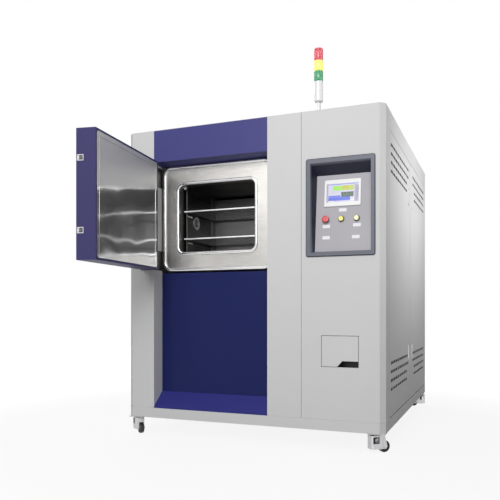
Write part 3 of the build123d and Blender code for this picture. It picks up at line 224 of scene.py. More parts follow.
@dataclass(frozen=True)
class PowderCoat:
    """Oven-baked paint with a fine orange-peel skin."""

    name: str
    colour: Triple
    roughness: float = 0.42
    shine: float = 0.3
    spread: float = 0.05
    peel: float = 0.25

    def make(self) -> Material:
        """Return the finished paint."""
        return self.coat().material

    def coat(self) -> Shader:
        """Return the paint's shader."""
        shader = Shader(self.name)
        rub = shader.noise(11.0, 4.0)
        peel = shader.noise(700.0, 2.0)
        shader.surface_set(
            Base_Color=self.tint(shader),
            Roughness=self.roughness + 0.1 * (rub - 0.5),
            Normal=shader.bump(peel, self.peel, 0.0003),
            Specular_IOR_Level=self.shine,
        )
        return shader

    def tint(self, shader: Shader) -> Signal:
        """Return the slightly clouded colour."""
        cloud = shader.noise(3.0, 3.0)
        return shader.clouded(cloud, self.colour, 1 - self.spread, 1 + self.spread)


@dataclass(frozen=True)
class VentedPaint(PowderCoat):
    """Paint of a vented door, with painted shade in its slots: the punched edges just inside its face are
    black.
    """

    slot_shade_start: float = 0.0002
    slot_shade_end: float = 0.0019

    def make(self) -> Material:
        """Return the paint with black painted shade on the cut edges inside its slots."""
        shader = self.coat()
        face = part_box("service_door_front")[1].x
        across = shader.axis("X")
        # Painted shade: a thin band just inside the outer face, the walls of the slots, is black.
        edge = across.below(face - self.slot_shade_start) * across.above(face - self.slot_shade_end)
        black = (0.004, 0.004, 0.005)
        shader.surface_set(Base_Color=shader.mixed(edge, self.tint(shader), black))
        return shader.material


@dataclass(frozen=True)
class SillPaint(PowderCoat):
    """Paint with a painted reflection: brighter on the sloping sill below the panel."""

    sill: Triple = (0.03, 0.032, 0.19)
    sill_depth: float = 0.0985

    def make(self) -> Material:
        """Return the paint with the painted reflection on its sill."""
        shader = self.coat()
        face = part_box("lower_panel")[0].y + self.sill_depth
        # Painted reflection: the sill in front of the panel's face takes the brighter colour.
        sill_reflection_mask = shader.axis("Y").below(face)
        shader.surface_set(Base_Color=shader.mixed(sill_reflection_mask, self.tint(shader), self.sill))
        return shader.material


@dataclass(frozen=True)
class RecessedMoulding:
    """Moulded frame with painted shade: its recessed walls and outermost edge are darker than its rim."""

    name: str
    rim: Triple
    recess_shade: Triple
    roughness: float = 0.4
    edge: float = 0.004

    def make(self) -> Material:
        """Return the moulding with its painted shade."""
        shader = Shader(self.name)
        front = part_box("control_bezel")[0].y
        # Painted shade: the recessed walls behind the rim's face take the dark colour.
        inside = shader.axis("Y").ramp(front + 0.004, front + 0.016)
        outline_shade = self._outline_shade(shader)
        cloud = shader.noise(30.0, 3.0)
        rim = shader.clouded(cloud, self.rim, DARK_SHARE, PALE_SHARE)
        grain = shader.noise(1600.0, 2.0)
        shader.surface_set(
            Base_Color=shader.mixed(shader.maths("MAXIMUM", inside, outline_shade), rim, self.recess_shade),
            Roughness=self.roughness + 0.1 * (cloud - 0.5),
            Normal=shader.bump(grain, 0.3, 0.0002),
            Specular_IOR_Level=0.3,
        )
        return shader.material

    def _outline_shade(self, shader: Shader) -> Signal:
        """Return 1 on the outermost edge of the rim, where a painted shadow line goes."""
        low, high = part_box("control_bezel")
        across, up = shader.axis("X"), shader.axis("Z")
        sides = shader.maths("MINIMUM", across - low.x, high.x - across)
        ends = shader.maths("MINIMUM", up - low.z, high.z - up)
        return shader.maths("MINIMUM", sides, ends).below(self.edge)


@dataclass(frozen=True)
class BrushedSteel:
    """Sheet steel with fine brush lines along one direction."""

    name: str
    colour: Triple
    grain: Grain = Grain.ACROSS
    roughness: float = 0.3
    contrast: float = 0.15

    def make(self) -> Material:
        """Return the finished metal."""
        return self.brushed().material

    def brushed(self) -> Shader:
        """Return the metal's shader."""
        shader = Shader(self.name)
        lines = shader.noise(6.0, 5.0, self.grain.value)
        shader.surface_set(
            Base_Color=self.tint(shader),
            Metallic=1.0,
            Roughness=self.roughness + 0.16 * (lines - 0.5),
            Normal=shader.bump(0.0006 * lines, 1.0, 1.0),
        )
        return shader

    def tint(self, shader: Shader) -> Signal:
        """Return the colour with its brush lines and smears."""
        lines = shader.noise(6.0, 5.0, self.grain.value)
        smear = shader.noise(2.4, 3.0)
        tone = 0.5 * lines + 0.5 * smear
        return shader.clouded(tone.ramp(0.3, 0.7), self.colour, 1 - self.contrast, 1 + self.contrast)


@dataclass(frozen=True)
class LinedSteel(BrushedSteel):
    """Brushed front frame whose chamber walls behind it carry painted shade, darker than the frame."""

    wall_shade_share: float = 0.22
    wall_shade_start: float = 0.108
    wall_shade_end: float = 0.17

    def make(self) -> Material:
        """Return the metal with the painted shade on its walls."""
        shader = self.brushed()
        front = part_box("control_front_panel")[0].y
        # Painted shade: deeper in the chamber the steel darkens to a share of its colour.
        inside = shader.axis("Y").ramp(front + self.wall_shade_start, front + self.wall_shade_end)
        wall = shade(self.colour, self.wall_shade_share)
        shader.surface_set(Base_Color=shader.mixed(inside, self.tint(shader), wall))
        return shader.material


@dataclass(frozen=True)
class SlottedSteel(BrushedSteel):
    """Brushed air guides whose slots are unlit inside."""

    left_face: float = 0.3195
    right_face: float = 0.7925

    def make(self) -> Material:
        """Return the metal with its dark slots."""
        shader = self.brushed()
        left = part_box("left_side_panel")[0].x
        across = shader.axis("X")
        inside = across.below(left + self.left_face) + across.above(left + self.right_face)
        black = (0.003, 0.003, 0.003)
        shader.surface_set(Base_Color=shader.mixed(inside, self.tint(shader), black))
        return shader.material


@dataclass(frozen=True)
class PolishedSheet:
    """Large polished sheet that has buckled a little between its welds."""

    name: str
    colour: Triple
    roughness: float = 0.13
    buckle: float = 0.012
    body: float = 0.8
    haze_slope: float = 0.166
    haze_start: float = 1.345
    haze_end: float = 1.38

    def make(self) -> Material:
        """Return the finished sheet, hazier towards its top, where a reflection is painted."""
        shader = Shader(self.name)
        free_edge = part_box("door_liner")[0].y
        # Painted reflection: towards the top the sheet turns less metallic, standing in for the dim
        # reflection of the room there; it also turns rougher.
        slope = shader.axis("Z") - self.haze_slope * (shader.axis("Y") - free_edge)
        haze = slope.ramp(self.haze_start, self.haze_end)
        slow = shader.noise(3.0, 1.0, (1.0, 1.0, 1.3))
        lines = shader.noise(6.0, 4.0, Grain.UPRIGHT.value)
        tint = shader.clouded(lines, self.colour, 0.9, 1.1)
        shader.surface_set(
            Base_Color=tint,
            Metallic=self.body - 0.45 * haze,
            Roughness=self.roughness + 0.05 * (lines - 0.5) + 0.3 * haze,
            Normal=shader.bump(self.buckle * slow, 1.0, 1.0),
        )
        return shader.material


@dataclass(frozen=True)
class Bead:
    """Bright rounded seal with a satin skin."""

    name: str
    colour: Triple
    metallic: float = 0.55
    roughness: float = 0.22

    def make(self) -> Material:
        """Return the finished seal."""
        shader = Shader(self.name)
        wear = shader.noise(14.0, 4.0)
        tint = shader.clouded(wear, self.colour, 0.9, 1.08)
        shader.surface_set(
            Base_Color=tint,
            Metallic=self.metallic,
            Roughness=self.roughness + 0.12 * (wear - 0.5),
            Normal=shader.bump(shader.noise(60.0, 2.0), 0.2, 0.0004),
        )
        return shader.material


@dataclass(frozen=True)
class Moulded:
    """Moulded plastic or rubber with a fine grained skin."""

    name: str
    colour: Triple
    roughness: float = 0.45
    grain: float = 0.3
    coat: float = 0.0
    glow: float = 0.0

    def make(self) -> Material:
        """Return the finished plastic."""
        shader = Shader(self.name)
        cloud = shader.noise(30.0, 3.0)
        tint = shader.clouded(cloud, self.colour, DARK_SHARE, PALE_SHARE)
        grain = shader.noise(1600.0, 2.0)
        shader.surface_set(
            Base_Color=tint,
            Roughness=self.roughness + 0.1 * (cloud - 0.5),
            Normal=shader.bump(grain, self.grain, 0.0002),
            Coat_Weight=self.coat,
            Coat_Roughness=0.08,
        )
        if self.glow:
            shader.surface_set(Emission_Color=(*self.colour, 1.0), Emission_Strength=self.glow)
        return shader.material


@dataclass(frozen=True)
class Pixels:
    """One lit colour of the display, with its fine pixel grid."""

    name: str
    colour: Triple
    glow: float = 0.15
    pitch: float = 0.0006

    def make(self) -> Material:
        """Return the lit colour."""
        shader = Shader(self.name)
        wave = shader.maths("SINE", shader.axis("X") * (2 * math.pi / self.pitch))
        tint = shader.clouded(0.5 + 0.5 * wave, self.colour, 0.92, 1.0)
        shader.surface_set(
            Base_Color=tint,
            Roughness=0.25,
            Emission_Color=tint,
            Emission_Strength=self.glow,
        )
        return shader.material


# Every finish of the machine, by the name that the pieces ask for.
FINISHES = {
    "grey": PowderCoat("grey_powder_coat", (0.6, 0.6, 0.6), 0.55, 0.08, 0.03),
    "vented": VentedPaint("grey_vented_coat", (0.6, 0.6, 0.6), 0.55, 0.08, 0.03),
    "blue": PowderCoat("blue_powder_coat", (0.056, 0.056, 0.2), 0.4, 0.2),
    "shell": PowderCoat("shell_powder_coat", (0.046, 0.042, 0.125), 0.45, 0.1),
    "navy": SillPaint("navy_powder_coat", (0.011, 0.016, 0.09), 0.35, 0.12),
    "frame_steel": LinedSteel("brushed_frame", (0.46, 0.45, 0.43), Grain.ACROSS, 0.34, 0.25),
    "liner_steel": PolishedSheet("polished_liner", (0.5, 0.5, 0.5)),
    # The air panel's steel is dark throughout: painted shade, deep inside the chamber.
    "inner_steel": SlottedSteel("chamber_steel", (0.13, 0.13, 0.13), Grain.DEEP, 0.34, 0.3),
    "rod_steel": BrushedSteel("bright_rod", (0.95, 0.95, 0.95), Grain.ACROSS, 0.3, 0.05),
    # The shelf wires darken deeper in the chamber too: painted shade.
    "shelf_steel": LinedSteel("shelf_wire", (0.95, 0.95, 0.95), Grain.ACROSS, 0.3, 0.05, 0.16, 0.149, 0.153),
    "bolt_steel": BrushedSteel("bolt_steel", (0.12, 0.12, 0.13), Grain.ACROSS, 0.4),
    "zinc": BrushedSteel("zinc_plate", (0.6, 0.6, 0.62), Grain.UPRIGHT, 0.3),
    "cast": BrushedSteel("die_cast", (0.55, 0.55, 0.56), Grain.ACROSS, 0.45),
    "strike_steel": Moulded("strike_plate", (0.6, 0.6, 0.61), 0.5, 0.1),
    "fins": BrushedSteel("fin_stock", (0.72, 0.73, 0.75), Grain.UPRIGHT, 0.35),
    "seal": Bead("bright_bead", (0.78, 0.78, 0.78), 0.85, 0.16),
    "black": Moulded("black_enamel", (0.012, 0.012, 0.014), 0.4),
    # Black for the hollows of screw sockets and punched holes: painted shade.
    "socket_black": Moulded("socket_black", (0.01, 0.01, 0.01), 0.6),
    "nylon": Moulded("black_nylon", (0.012, 0.012, 0.013), 0.35),
    "rubber": Moulded("pad_rubber", (0.02, 0.02, 0.02), 0.7),
    "bezel": RecessedMoulding("bezel_moulding", (0.13, 0.14, 0.17), (0.018, 0.02, 0.04)),
    "plate": PowderCoat("plate_paint", (0.38, 0.37, 0.4), 0.45, 0.3),
    "white": Moulded("white_plastic", (0.74, 0.74, 0.74), 0.3, 0.1, 0.2),
    "card": Moulded("blank_label", (0.74, 0.73, 0.76), 0.5, 0.1),
    "screen_case": Moulded("screen_case", (0.74, 0.74, 0.74), 0.35),
    "red": Moulded("red_plastic", (0.55, 0.01, 0.015), 0.2, 0.05, 0.4),
    "yellow": Moulded("yellow_plastic", (0.68, 0.58, 0.01), 0.2, 0.05, 0.4),
    "cream": Moulded("cream_plastic", (0.68, 0.66, 0.33), 0.2, 0.05, 0.4),
    "wool": Moulded("mineral_wool", (0.6, 0.52, 0.3), 0.9, 1.0),
    "motor": PowderCoat("motor_paint", (0.05, 0.06, 0.075), 0.5),
    "compressor": PowderCoat("compressor_enamel", (0.012, 0.012, 0.013), 0.35),
    "switchgear": Moulded("switchgear", (0.5, 0.5, 0.48), 0.5),
    "lens_red": Moulded("red_lens", (0.62, 0.05, 0.09), 0.18, 0.05, 0.8, 0.12),
    "lens_amber": Moulded("amber_lens", (0.8, 0.8, 0.14), 0.18, 0.05, 0.8, 0.25),
    "lens_green": Moulded("green_lens", (0.02, 0.3, 0.12), 0.18, 0.05, 0.8, 0.05),
    "lit_pale": Pixels("lit_pale", (0.5, 0.49, 0.62)),
    "lit_grey": Pixels("lit_grey", (0.3, 0.28, 0.38)),
    "lit_green": Pixels("lit_green", (0.26, 0.6, 0.04)),
    "lit_orange": Pixels("lit_orange", (0.75, 0.16, 0.02)),
    "lit_dark": Pixels("lit_dark", (0.012, 0.03, 0.03), 0.1),
    "lit_blue": Pixels("lit_blue", (0.05, 0.1, 0.6)),
    "lit_teal": Pixels("lit_teal", (0.05, 0.2, 0.08), 0.1),
    "lit_white": Pixels("lit_white", (0.66, 0.66, 0.7)),
}


@dataclass(frozen=True)
class Datum:
    """Where the cabinet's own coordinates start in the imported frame."""

    left: float
    front: float
    base: float

    @classmethod
    def from_frame(cls) -> "Datum":
        """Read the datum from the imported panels."""
        body_height = 1.75
        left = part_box("left_side_panel")[0].x
        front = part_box("control_front_panel")[0].y
        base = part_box("top_cover")[1].z - body_height
        return cls(left, front, base)

    def at(self, x: float, y: float, z: float) -> Vector:
        """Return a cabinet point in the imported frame."""
        return Vector((self.left + x, self.front + y, self.base + z))


class Workshop:
    """Makes mesh pieces and hands them to their bodies."""

    def __init__(self, materials: dict[str, Material]) -> None:
        """Keep the finishes.

        Args:
            materials: Every finish by name.
        """
        self.materials = materials
        self.datum = Datum.from_frame()

    def dress(self, finish: str, *nodes: str) -> None:
        """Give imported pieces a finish."""
        for name in nodes:
            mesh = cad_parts[name].data
            mesh.materials.clear()
            mesh.materials.append(self.materials[finish])
            LOG.info("%s is dressed in %s", name, finish)

    def piece(
        self, name: str, mesh: bmesh.types.BMesh, finish: str,
        carrier: Carrier = Carrier.CABINET, smooth: bool = False
    ) -> Object:
        """Turn a bmesh into a piece that rides on a body.

        Args:
            name: The piece's name.
            mesh: Its shape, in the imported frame. It is freed here.
            finish: The finish's name.
            carrier: The body that carries it.
            smooth: Whether its faces are shaded smooth.

        Returns:
            The finished object.
        """
        data = bpy.data.meshes.new(name)
        bmesh.ops.recalc_face_normals(mesh, faces=mesh.faces)
        mesh.to_mesh(data)
        mesh.free()
        data.materials.append(self.materials[finish])
        for polygon in data.polygons:
            polygon.use_smooth = smooth
        return self.carried(name, data, carrier)

    @staticmethod
    def carried(name: str, data: Mesh, carrier: Carrier = Carrier.CABINET) -> Object:
        """Put a finished mesh on its body and report it."""
        made = bpy.data.objects.new(name, data)
        bpy.context.scene.collection.objects.link(made)
        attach(made, carrier.value)
        LOG.info("%s rides on %s", name, carrier.value)
        return made


def add_box(
    mesh: bmesh.types.BMesh, low: Vector, high: Vector, bevel: float = 0.0, place: Matrix = Matrix.Identity(4)
) -> None:
    """Add a box to a bmesh.

    Args:
        mesh: The mesh that takes the box.
        low: The lowest corner in the place's own axes.
        high: The highest corner.
        bevel: The width of its rounded edges.
        place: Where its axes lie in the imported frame.
    """
    middle = (low + high) / 2
    size = high - low
    stretched = place @ Matrix.Translation(middle) @ Matrix.Diagonal((*size, 1.0))
    corners = bmesh.ops.create_cube(mesh, size=1.0, matrix=stretched)["verts"]
    if bevel:
        edges = list({edge for corner in corners for edge in corner.link_edges})
        bmesh.ops.bevel(mesh, geom=edges, offset=bevel, segments=2, profile=0.5, affect="EDGES")


def add_revolved(
    mesh: bmesh.types.BMesh, profile: Sequence[Pair], place: Matrix, steps: int = 32
) -> None:
    """Add a turned shape: (radius, height) points spun about local z.

    Args:
        mesh: The mesh that takes the shape.
        profile: Points from one end to the other; both ends lie on the axis.
        place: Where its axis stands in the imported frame.
        steps: Facets around.
    """
    rings = []
    for radius, height in profile:
        if radius == 0.0:
            rings.append([mesh.verts.new(place @ Vector((0, 0, height)))] * steps)
            continue
        turns = [2 * math.pi * step / steps for step in range(steps)]
        rings.append([
            mesh.verts.new(place @ Vector((radius * math.cos(turn), radius * math.sin(turn), height)))
            for turn in turns
        ])
    for lower, upper in zip(rings, rings[1:]):
        for step in range(steps):
            after = (step + 1) % steps
            corners = (lower[step], lower[after], upper[after], upper[step])
            mesh.faces.new(tuple(dict.fromkeys(corners)))


class Repeat(NodeGraph):
    """A Geometry Nodes tree that sets one small shape on every point."""

    def __init__(self, name: str) -> None:
        """Start a tree with its way in and out."""
        super().__init__(bpy.data.node_groups.new(name, "GeometryNodeTree"))
        self.name = name
        for label, way in (("Points", "INPUT"), ("Shapes", "OUTPUT")):
            self.tree.interface.new_socket(name=label, in_out=way, socket_type="NodeSocketGeometry")
        self.entry = self.tree.nodes.new("NodeGroupInput")
        self.exit = self.tree.nodes.new("NodeGroupOutput")

    def size(self, name: str) -> NodeSocket:
        """Add a named size in metres and return its socket."""
        self.tree.interface.new_socket(name=name, in_out="INPUT", socket_type="NodeSocketFloat")
        return self.entry.outputs[name]

    def cylinder(self, sides: int, radius: str, height: str) -> NodeSocket:
        """Make an upright cylinder whose radius and height are named sizes."""
        inputs = {"Vertices": sides, "Radius": self.size(radius), "Depth": self.size(height)}
        return self.node("GeometryNodeMeshCylinder", inputs).outputs["Mesh"]

    def coloured(self, shape: NodeSocket, material: Material) -> NodeSocket:
        """Give a shape its material."""
        return self.node("GeometryNodeSetMaterial", {"Geometry": shape, "Material": material}).outputs[0]

    def joined(self, *shapes: NodeSocket) -> NodeSocket:
        """Join shapes into one."""
        join = self.tree.nodes.new("GeometryNodeJoinGeometry")
        for shape in shapes:
            self.tree.links.new(shape, join.inputs[0])
        return join.outputs[0]

    def finish(self, shape: NodeSocket, outward: Vector) -> None:
        """Set the shape on every point, facing outward, and close the tree."""
        turn = outward.to_track_quat("Z", "Y").to_euler()
        inputs = {"Points": self.entry.outputs["Points"], "Instance": shape, "Rotation": turn}
        placed = self.node("GeometryNodeInstanceOnPoints", inputs)
        real = self.node("GeometryNodeRealizeInstances", {"Geometry": placed.outputs[0]})
        self.tree.links.new(real.outputs[0], self.exit.inputs["Shapes"])

    def grow(self, name: str, points: Sequence[Vector], sizes: dict[str, float]) -> Mesh:
        """Run the tree on points.

        Args:
            name: The mesh's name.
            points: Where the shapes sit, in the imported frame.
            sizes: A value for every named size.

        Returns:
            A plain mesh of all the shapes.
        """
        seed = bpy.data.meshes.new(name + "_points")
        seed.from_pydata([tuple(point) for point in points], [], [])
        host = bpy.data.objects.new(name + "_host", seed)
        bpy.context.scene.collection.objects.link(host)
        modifier = host.modifiers.new("repeat", "NODES")
        modifier.node_group = self.tree
        for item in self.tree.interface.items_tree:
            if item.in_out == "INPUT" and item.name in sizes:
                modifier[item.identifier] = sizes[item.name]
        evaluated = host.evaluated_get(bpy.context.evaluated_depsgraph_get())
        made = bpy.data.meshes.new_from_object(evaluated)
        made.name = name
        host.modifiers.clear()
        bpy.data.objects.remove(host)
        return made


@dataclass
class Fasteners:
    """Button-head screws and punched holes, set out by Geometry Nodes.

    A share is of the screw's or the hole's radius.
    """

    shop: Workshop
    sides: int = 20
    height_share: float = 0.5
    crown_share: float = 0.75
    socket_share: float = 0.45
    socket_lift: float = 0.24
    socket_depth: float = 0.54
    hole_sides: int = 14
    rim_share: float = 1.25
    rim_height: float = 0.0003
    hole_height: float = 0.0005

    def screws(
        self, name: str, points: Sequence[Vector], outward: Vector, radius: float, finish: str,
        carrier: Carrier = Carrier.CABINET
    ) -> Object:
        """Set button-head screws on points.

        Args:
            name: The piece's name.
            points: Where the undersides of the heads sit.
            outward: The direction that the heads face.
            radius: The radius of a head.
            finish: The heads' finish.
            carrier: The body that carries them.

        Returns:
            One piece that holds all of them.
        """
        tree = Repeat(name)
        cone = {"Vertices": self.sides, "Radius Top": tree.size("Crown radius"),
                "Radius Bottom": tree.size("Head radius"), "Depth": tree.size("Head height")}
        head = tree.node("GeometryNodeMeshCone", cone).outputs["Mesh"]
        # The black hexagon on each head is painted shade for its socket's hollow.
        socket = tree.cylinder(6, "Socket radius", "Socket depth")
        raised = {"Geometry": socket, "Translation": (0.0, 0.0, radius * self.socket_lift)}
        socket = tree.node("GeometryNodeTransform", raised).outputs[0]
        sizes = {"Head radius": radius, "Head height": radius * self.height_share,
                 "Crown radius": radius * self.crown_share,
                 "Socket radius": radius * self.socket_share,
                 "Socket depth": radius * self.socket_depth}
        return self._set_out(tree, {finish: head, "socket_black": socket}, outward, points, sizes, carrier)

    def holes(
        self, name: str, points: Sequence[Vector], outward: Vector, radius: float,
        carrier: Carrier = Carrier.CABINET
    ) -> Object:
        """Set punched holes with a bright rim on points, as screws are set; the black disc in each is painted
        shade for its hollow.
        """
        tree = Repeat(name)
        rim = tree.cylinder(self.hole_sides, "Rim radius", "Rim height")
        hole = tree.cylinder(self.hole_sides, "Hole radius", "Hole height")
        sizes = {"Rim radius": radius * self.rim_share, "Rim height": self.rim_height,
                 "Hole radius": radius, "Hole height": self.hole_height}
        return self._set_out(tree, {"rod_steel": rim, "socket_black": hole}, outward, points, sizes, carrier)

    def _set_out(
        self, tree: Repeat, parts: dict[str, NodeSocket], outward: Vector,
        points: Sequence[Vector], sizes: dict[str, float], carrier: Carrier
    ) -> Object:
        """Colour the parts by their finish and set them on every point."""
        coloured = [tree.coloured(part, self.shop.materials[finish]) for finish, part in parts.items()]
        tree.finish(tree.joined(*coloured), outward)
        return self.shop.carried(tree.name, tree.grow(tree.name, points, sizes), carrier)


class CabinetFinish:
    """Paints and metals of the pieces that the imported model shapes."""

    def __init__(self, shop: Workshop) -> None:
        """Keep the workshop."""
        self.shop = shop

    def dress(self) -> None:
        """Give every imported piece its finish."""
        dress = self.shop.dress
        dress("grey", "welded_frame", "left_column", "middle_column", "control_front_panel",
              "left_side_panel", "rear_panel", "top_cover", "side_frame", "hatch")
        dress("vented", "service_door_front", "service_door_rear")
        dress("blue", "header_panel")
        dress("shell", "door_shell")
        dress("navy", "lower_panel")
        dress("seal", "door_seals")
        dress("frame_steel", "chamber_liner")
        dress("inner_steel", "air_panel")
        dress("liner_steel", "door_liner")
        dress("shelf_steel", "shelf_upper", "shelf_lower")
        dress("rod_steel", "port_sleeve", "heater")
        dress("zinc", "latch_front_lower", "latch_front_upper", "latch_rear_lower",
              "latch_rear_upper")
        dress("bolt_steel", "latch_bolts")
        dress("fins", "evaporator", "condenser", "circulation_fan")
        dress("wool", "insulation")
        dress("motor", "fan_motor")
        dress("compressor", "compressors")
        dress("switchgear", "electrical_panel")
        dress("bezel", "control_bezel")
        dress("plate", "control_plate")
        dress("screen_case", "touch_screen")
        # The hatch pocket is dressed black as painted shade, the dark seen in the gap round the hatch.
        dress("black", "button_collars", "door_fixings", "hinge_straps", "door_handle", "condenser_fan",
              "hatch_pocket")
        dress("white", "tower_base")
        dress("red", "emergency_stop")
        dress("yellow", "reset_button")
        dress("cream", "lamp_button")
        for corner in CASTER_CORNERS:
            dress("cast", "caster_housing_" + corner)
            dress("nylon", "caster_wheel_" + corner)
            dress("rubber", "caster_pad_" + corner)


@dataclass
class TowerLight:
    """Three ribbed lenses and a cap that stand for the plain lamp stack."""

    shop: Workshop
    module: float = 0.058
    neck: float = 0.003
    core_radius: float = 0.0232
    rib_radius: float = 0.0018
    ribs: int = 22
    cap_height: float = 0.013
    edge: float = 0.0012

    def build(self) -> None:
        """Make the lenses from the bottom up, then the cap."""
        low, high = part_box("tower_lenses")
        axis = Vector(((low.x + high.x) / 2, (low.y + high.y) / 2, low.z))
        for index, colour in enumerate(("green", "amber", "red")):
            self._lens(colour, axis + Vector((0, 0, index * self.module)))
        self._cap(axis + Vector((0, 0, 3 * self.module)))

    def _lens(self, colour: str, foot: Vector) -> None:
        """Make one lens with its upright ribs."""
        mesh = bmesh.new()
        core, edge = self.core_radius, self.edge
        profile = ((0.0, 0.0), (core - edge, 0.0), (core - edge, self.neck), (core, self.neck + edge),
                   (core, self.module - edge), (core - edge, self.module), (0.0, self.module))
        add_revolved(mesh, profile, Matrix.Translation(foot), 44)
        lens = self.shop.piece("lens_" + colour, mesh, "lens_" + colour, smooth=True)
        tree = Repeat("lens_ribs_" + colour)
        rib = tree.cylinder(10, "Rib radius", "Rib height")
        tree.finish(tree.coloured(rib, self.shop.materials["lens_" + colour]), Vector((0, 0, 1)))
        height = self.module - self.neck - 2 * edge
        middle = foot + Vector((0, 0, self.neck + edge + height / 2))
        turns = [2 * math.pi * index / self.ribs for index in range(self.ribs)]
        points = [middle + Vector((core * math.cos(turn), core * math.sin(turn), 0)) for turn in turns]
        sizes = {"Rib radius": self.rib_radius, "Rib height": height}
        ribs = self.shop.carried(tree.name, tree.grow(tree.name, points, sizes))
        for made in (lens, ribs):
            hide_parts("tower_lenses")

    def _cap(self, foot: Vector) -> None:
        """Make the domed cap."""
        mesh = bmesh.new()
        radius = self.core_radius + self.rib_radius
        top = self.cap_height
        profile = ((0.0, 0.0), (radius, 0.0), (radius, top * 0.45), (radius * 0.94, top * 0.75),
                   (radius * 0.75, top * 0.95), (0.0, top))
        add_revolved(mesh, profile, Matrix.Translation(foot), 40)
        cap = self.shop.piece("lens_cap", mesh, "lens_red", smooth=True)
        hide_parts("tower_lenses")


@dataclass(frozen=True)
class Tile:
    """One coloured block of the display, in shares of its width and height."""

    finish: str
    left: float
    right: float
    bottom: float
    top: float


@dataclass
class ControlPanel:
    """Display and blank labels on the sloping control plate."""

    shop: Workshop
    origin: Triple = (1.195, 0.014, 0.975)
    tilt_degrees: float = 6.4
    screen_centre: Pair = (0.147, 0.324)
    display_size: Pair = (0.179, 0.104)
    display_floor: float = 0.0045
    display_layer: float = 0.00012
    label_size: Pair = (0.042, 0.019)
    label_thickness: float = 0.0012
    label_places: tuple[Pair, ...] = (
        (0.150, 0.228), (0.061, 0.140), (0.230, 0.141), (0.061, 0.077), (0.225, 0.076))
    tiles: tuple[Tile, ...] = (
        Tile("lit_pale", 0.0, 1.0, 0.0, 1.0),
        Tile("lit_grey", 0.0, 0.05, 0.0, 1.0),
        Tile("lit_blue", 0.05, 0.98, 0.945, 0.975),
        Tile("lit_green", 0.2, 0.84, 0.62, 0.88),
        Tile("lit_dark", 0.46, 0.84, 0.27, 0.53),
        Tile("lit_blue", 0.06, 0.44, 0.28, 0.36),
        Tile("lit_blue", 0.06, 0.74, 0.08, 0.27),
        Tile("lit_white", 0.08, 0.22, 0.03, 0.12),
        Tile("lit_white", 0.74, 0.86, 0.03, 0.14),
        Tile("lit_grey", 0.87, 1.0, 0.0, 0.9),
        Tile("lit_white", 0.9, 0.97, 0.55, 0.8),
        Tile("lit_white", 0.9, 0.97, 0.2, 0.45),
    )

    def build(self) -> None:
        """Make everything on the plate."""
        turn = Matrix.Rotation(math.radians(90 - self.tilt_degrees), 4, "X")
        self.place = Matrix.Translation(self.shop.datum.at(*self.origin)) @ turn
        self._labels()
        self._display()

    def _labels(self) -> None:
        """Make the five blank label plates."""
        mesh = bmesh.new()
        half = Vector((self.label_size[0] / 2, self.label_size[1] / 2, 0))
        for across, up in self.label_places:
            centre = Vector((across, up, 0))
            top = Vector((0, 0, self.label_thickness))
            add_box(mesh, centre - half, centre + half + top, 0.0005, self.place)
        self.shop.piece("blank_labels", mesh, "card")

    def _display(self) -> None:
        """Make the lit blocks of the display and its figures."""
        width, height = self.display_size
        corner = Vector((self.screen_centre[0] - width / 2, self.screen_centre[1] - height / 2, 0))
        layer = self.display_layer
        for index, tile in enumerate(self.tiles):
            mesh = bmesh.new()
            low = corner + Vector((tile.left * width, tile.bottom * height, self.display_floor))
            high = corner + Vector((tile.right * width, tile.top * height, self.display_floor + layer))
            high.z += layer * min(index, 1)
            add_box(mesh, low, high, 0.0, self.place)
            self.shop.piece(f"display_block_{index}", mesh, tile.finish)
        level = self.display_floor + 2 * layer
        self._figures("reading", "25.0", "lit_orange", corner, (0.5, 0.66), (0.082, 0.2), level)
        self._figures("setting", "60.0", "lit_teal", corner, (0.52, 0.32), (0.07, 0.16), level)

    def _figures(
        self, name: str, text: str, finish: str, corner: Vector, start: Pair,
        size: Pair, level: float
    ) -> None:
        """Make seven-segment figures.

        Args:
            name: The piece's name.
            text: Digits and points.
            finish: Their finish.
            corner: The display's lower left corner.
            start: Lower left of the first figure, in shares of the display.
            size: Width and height of a figure, in shares of the display.
            level: How far they stand out of the plate.
        """
        width, height = self.display_size
        across, up = size[0] * width, size[1] * height
        bar = across * 0.2
        segments = {
            "a": (0, up - bar, across, up), "b": (across - bar, up / 2, across, up),
            "c": (across - bar, 0, across, up / 2), "d": (0, 0, across, bar),
            "e": (0, 0, bar, up / 2), "f": (0, up / 2, bar, up),
            "g": (0, up / 2 - bar / 2, across, up / 2 + bar / 2),
        }
        lit = {"0": "abcdef", "2": "abged", "5": "afgcd", "6": "afgedc"}
        mesh = bmesh.new()
        pen = corner + Vector((start[0] * width, start[1] * height, level))
        for sign in text:
            if sign == ".":
                add_box(mesh, pen, pen + Vector((bar, bar, 0.0001)), 0.0, self.place)
                pen.x += 2 * bar
                continue
            for segment in lit[sign]:
                x0, y0, x1, y1 = segments[segment]
                low = pen + Vector((x0, y0, 0))
                add_box(mesh, low, pen + Vector((x1, y1, 0.0001)), 0.0, self.place)
            pen.x += across + 1.6 * bar
        self.shop.piece("display_" + name, mesh, finish)


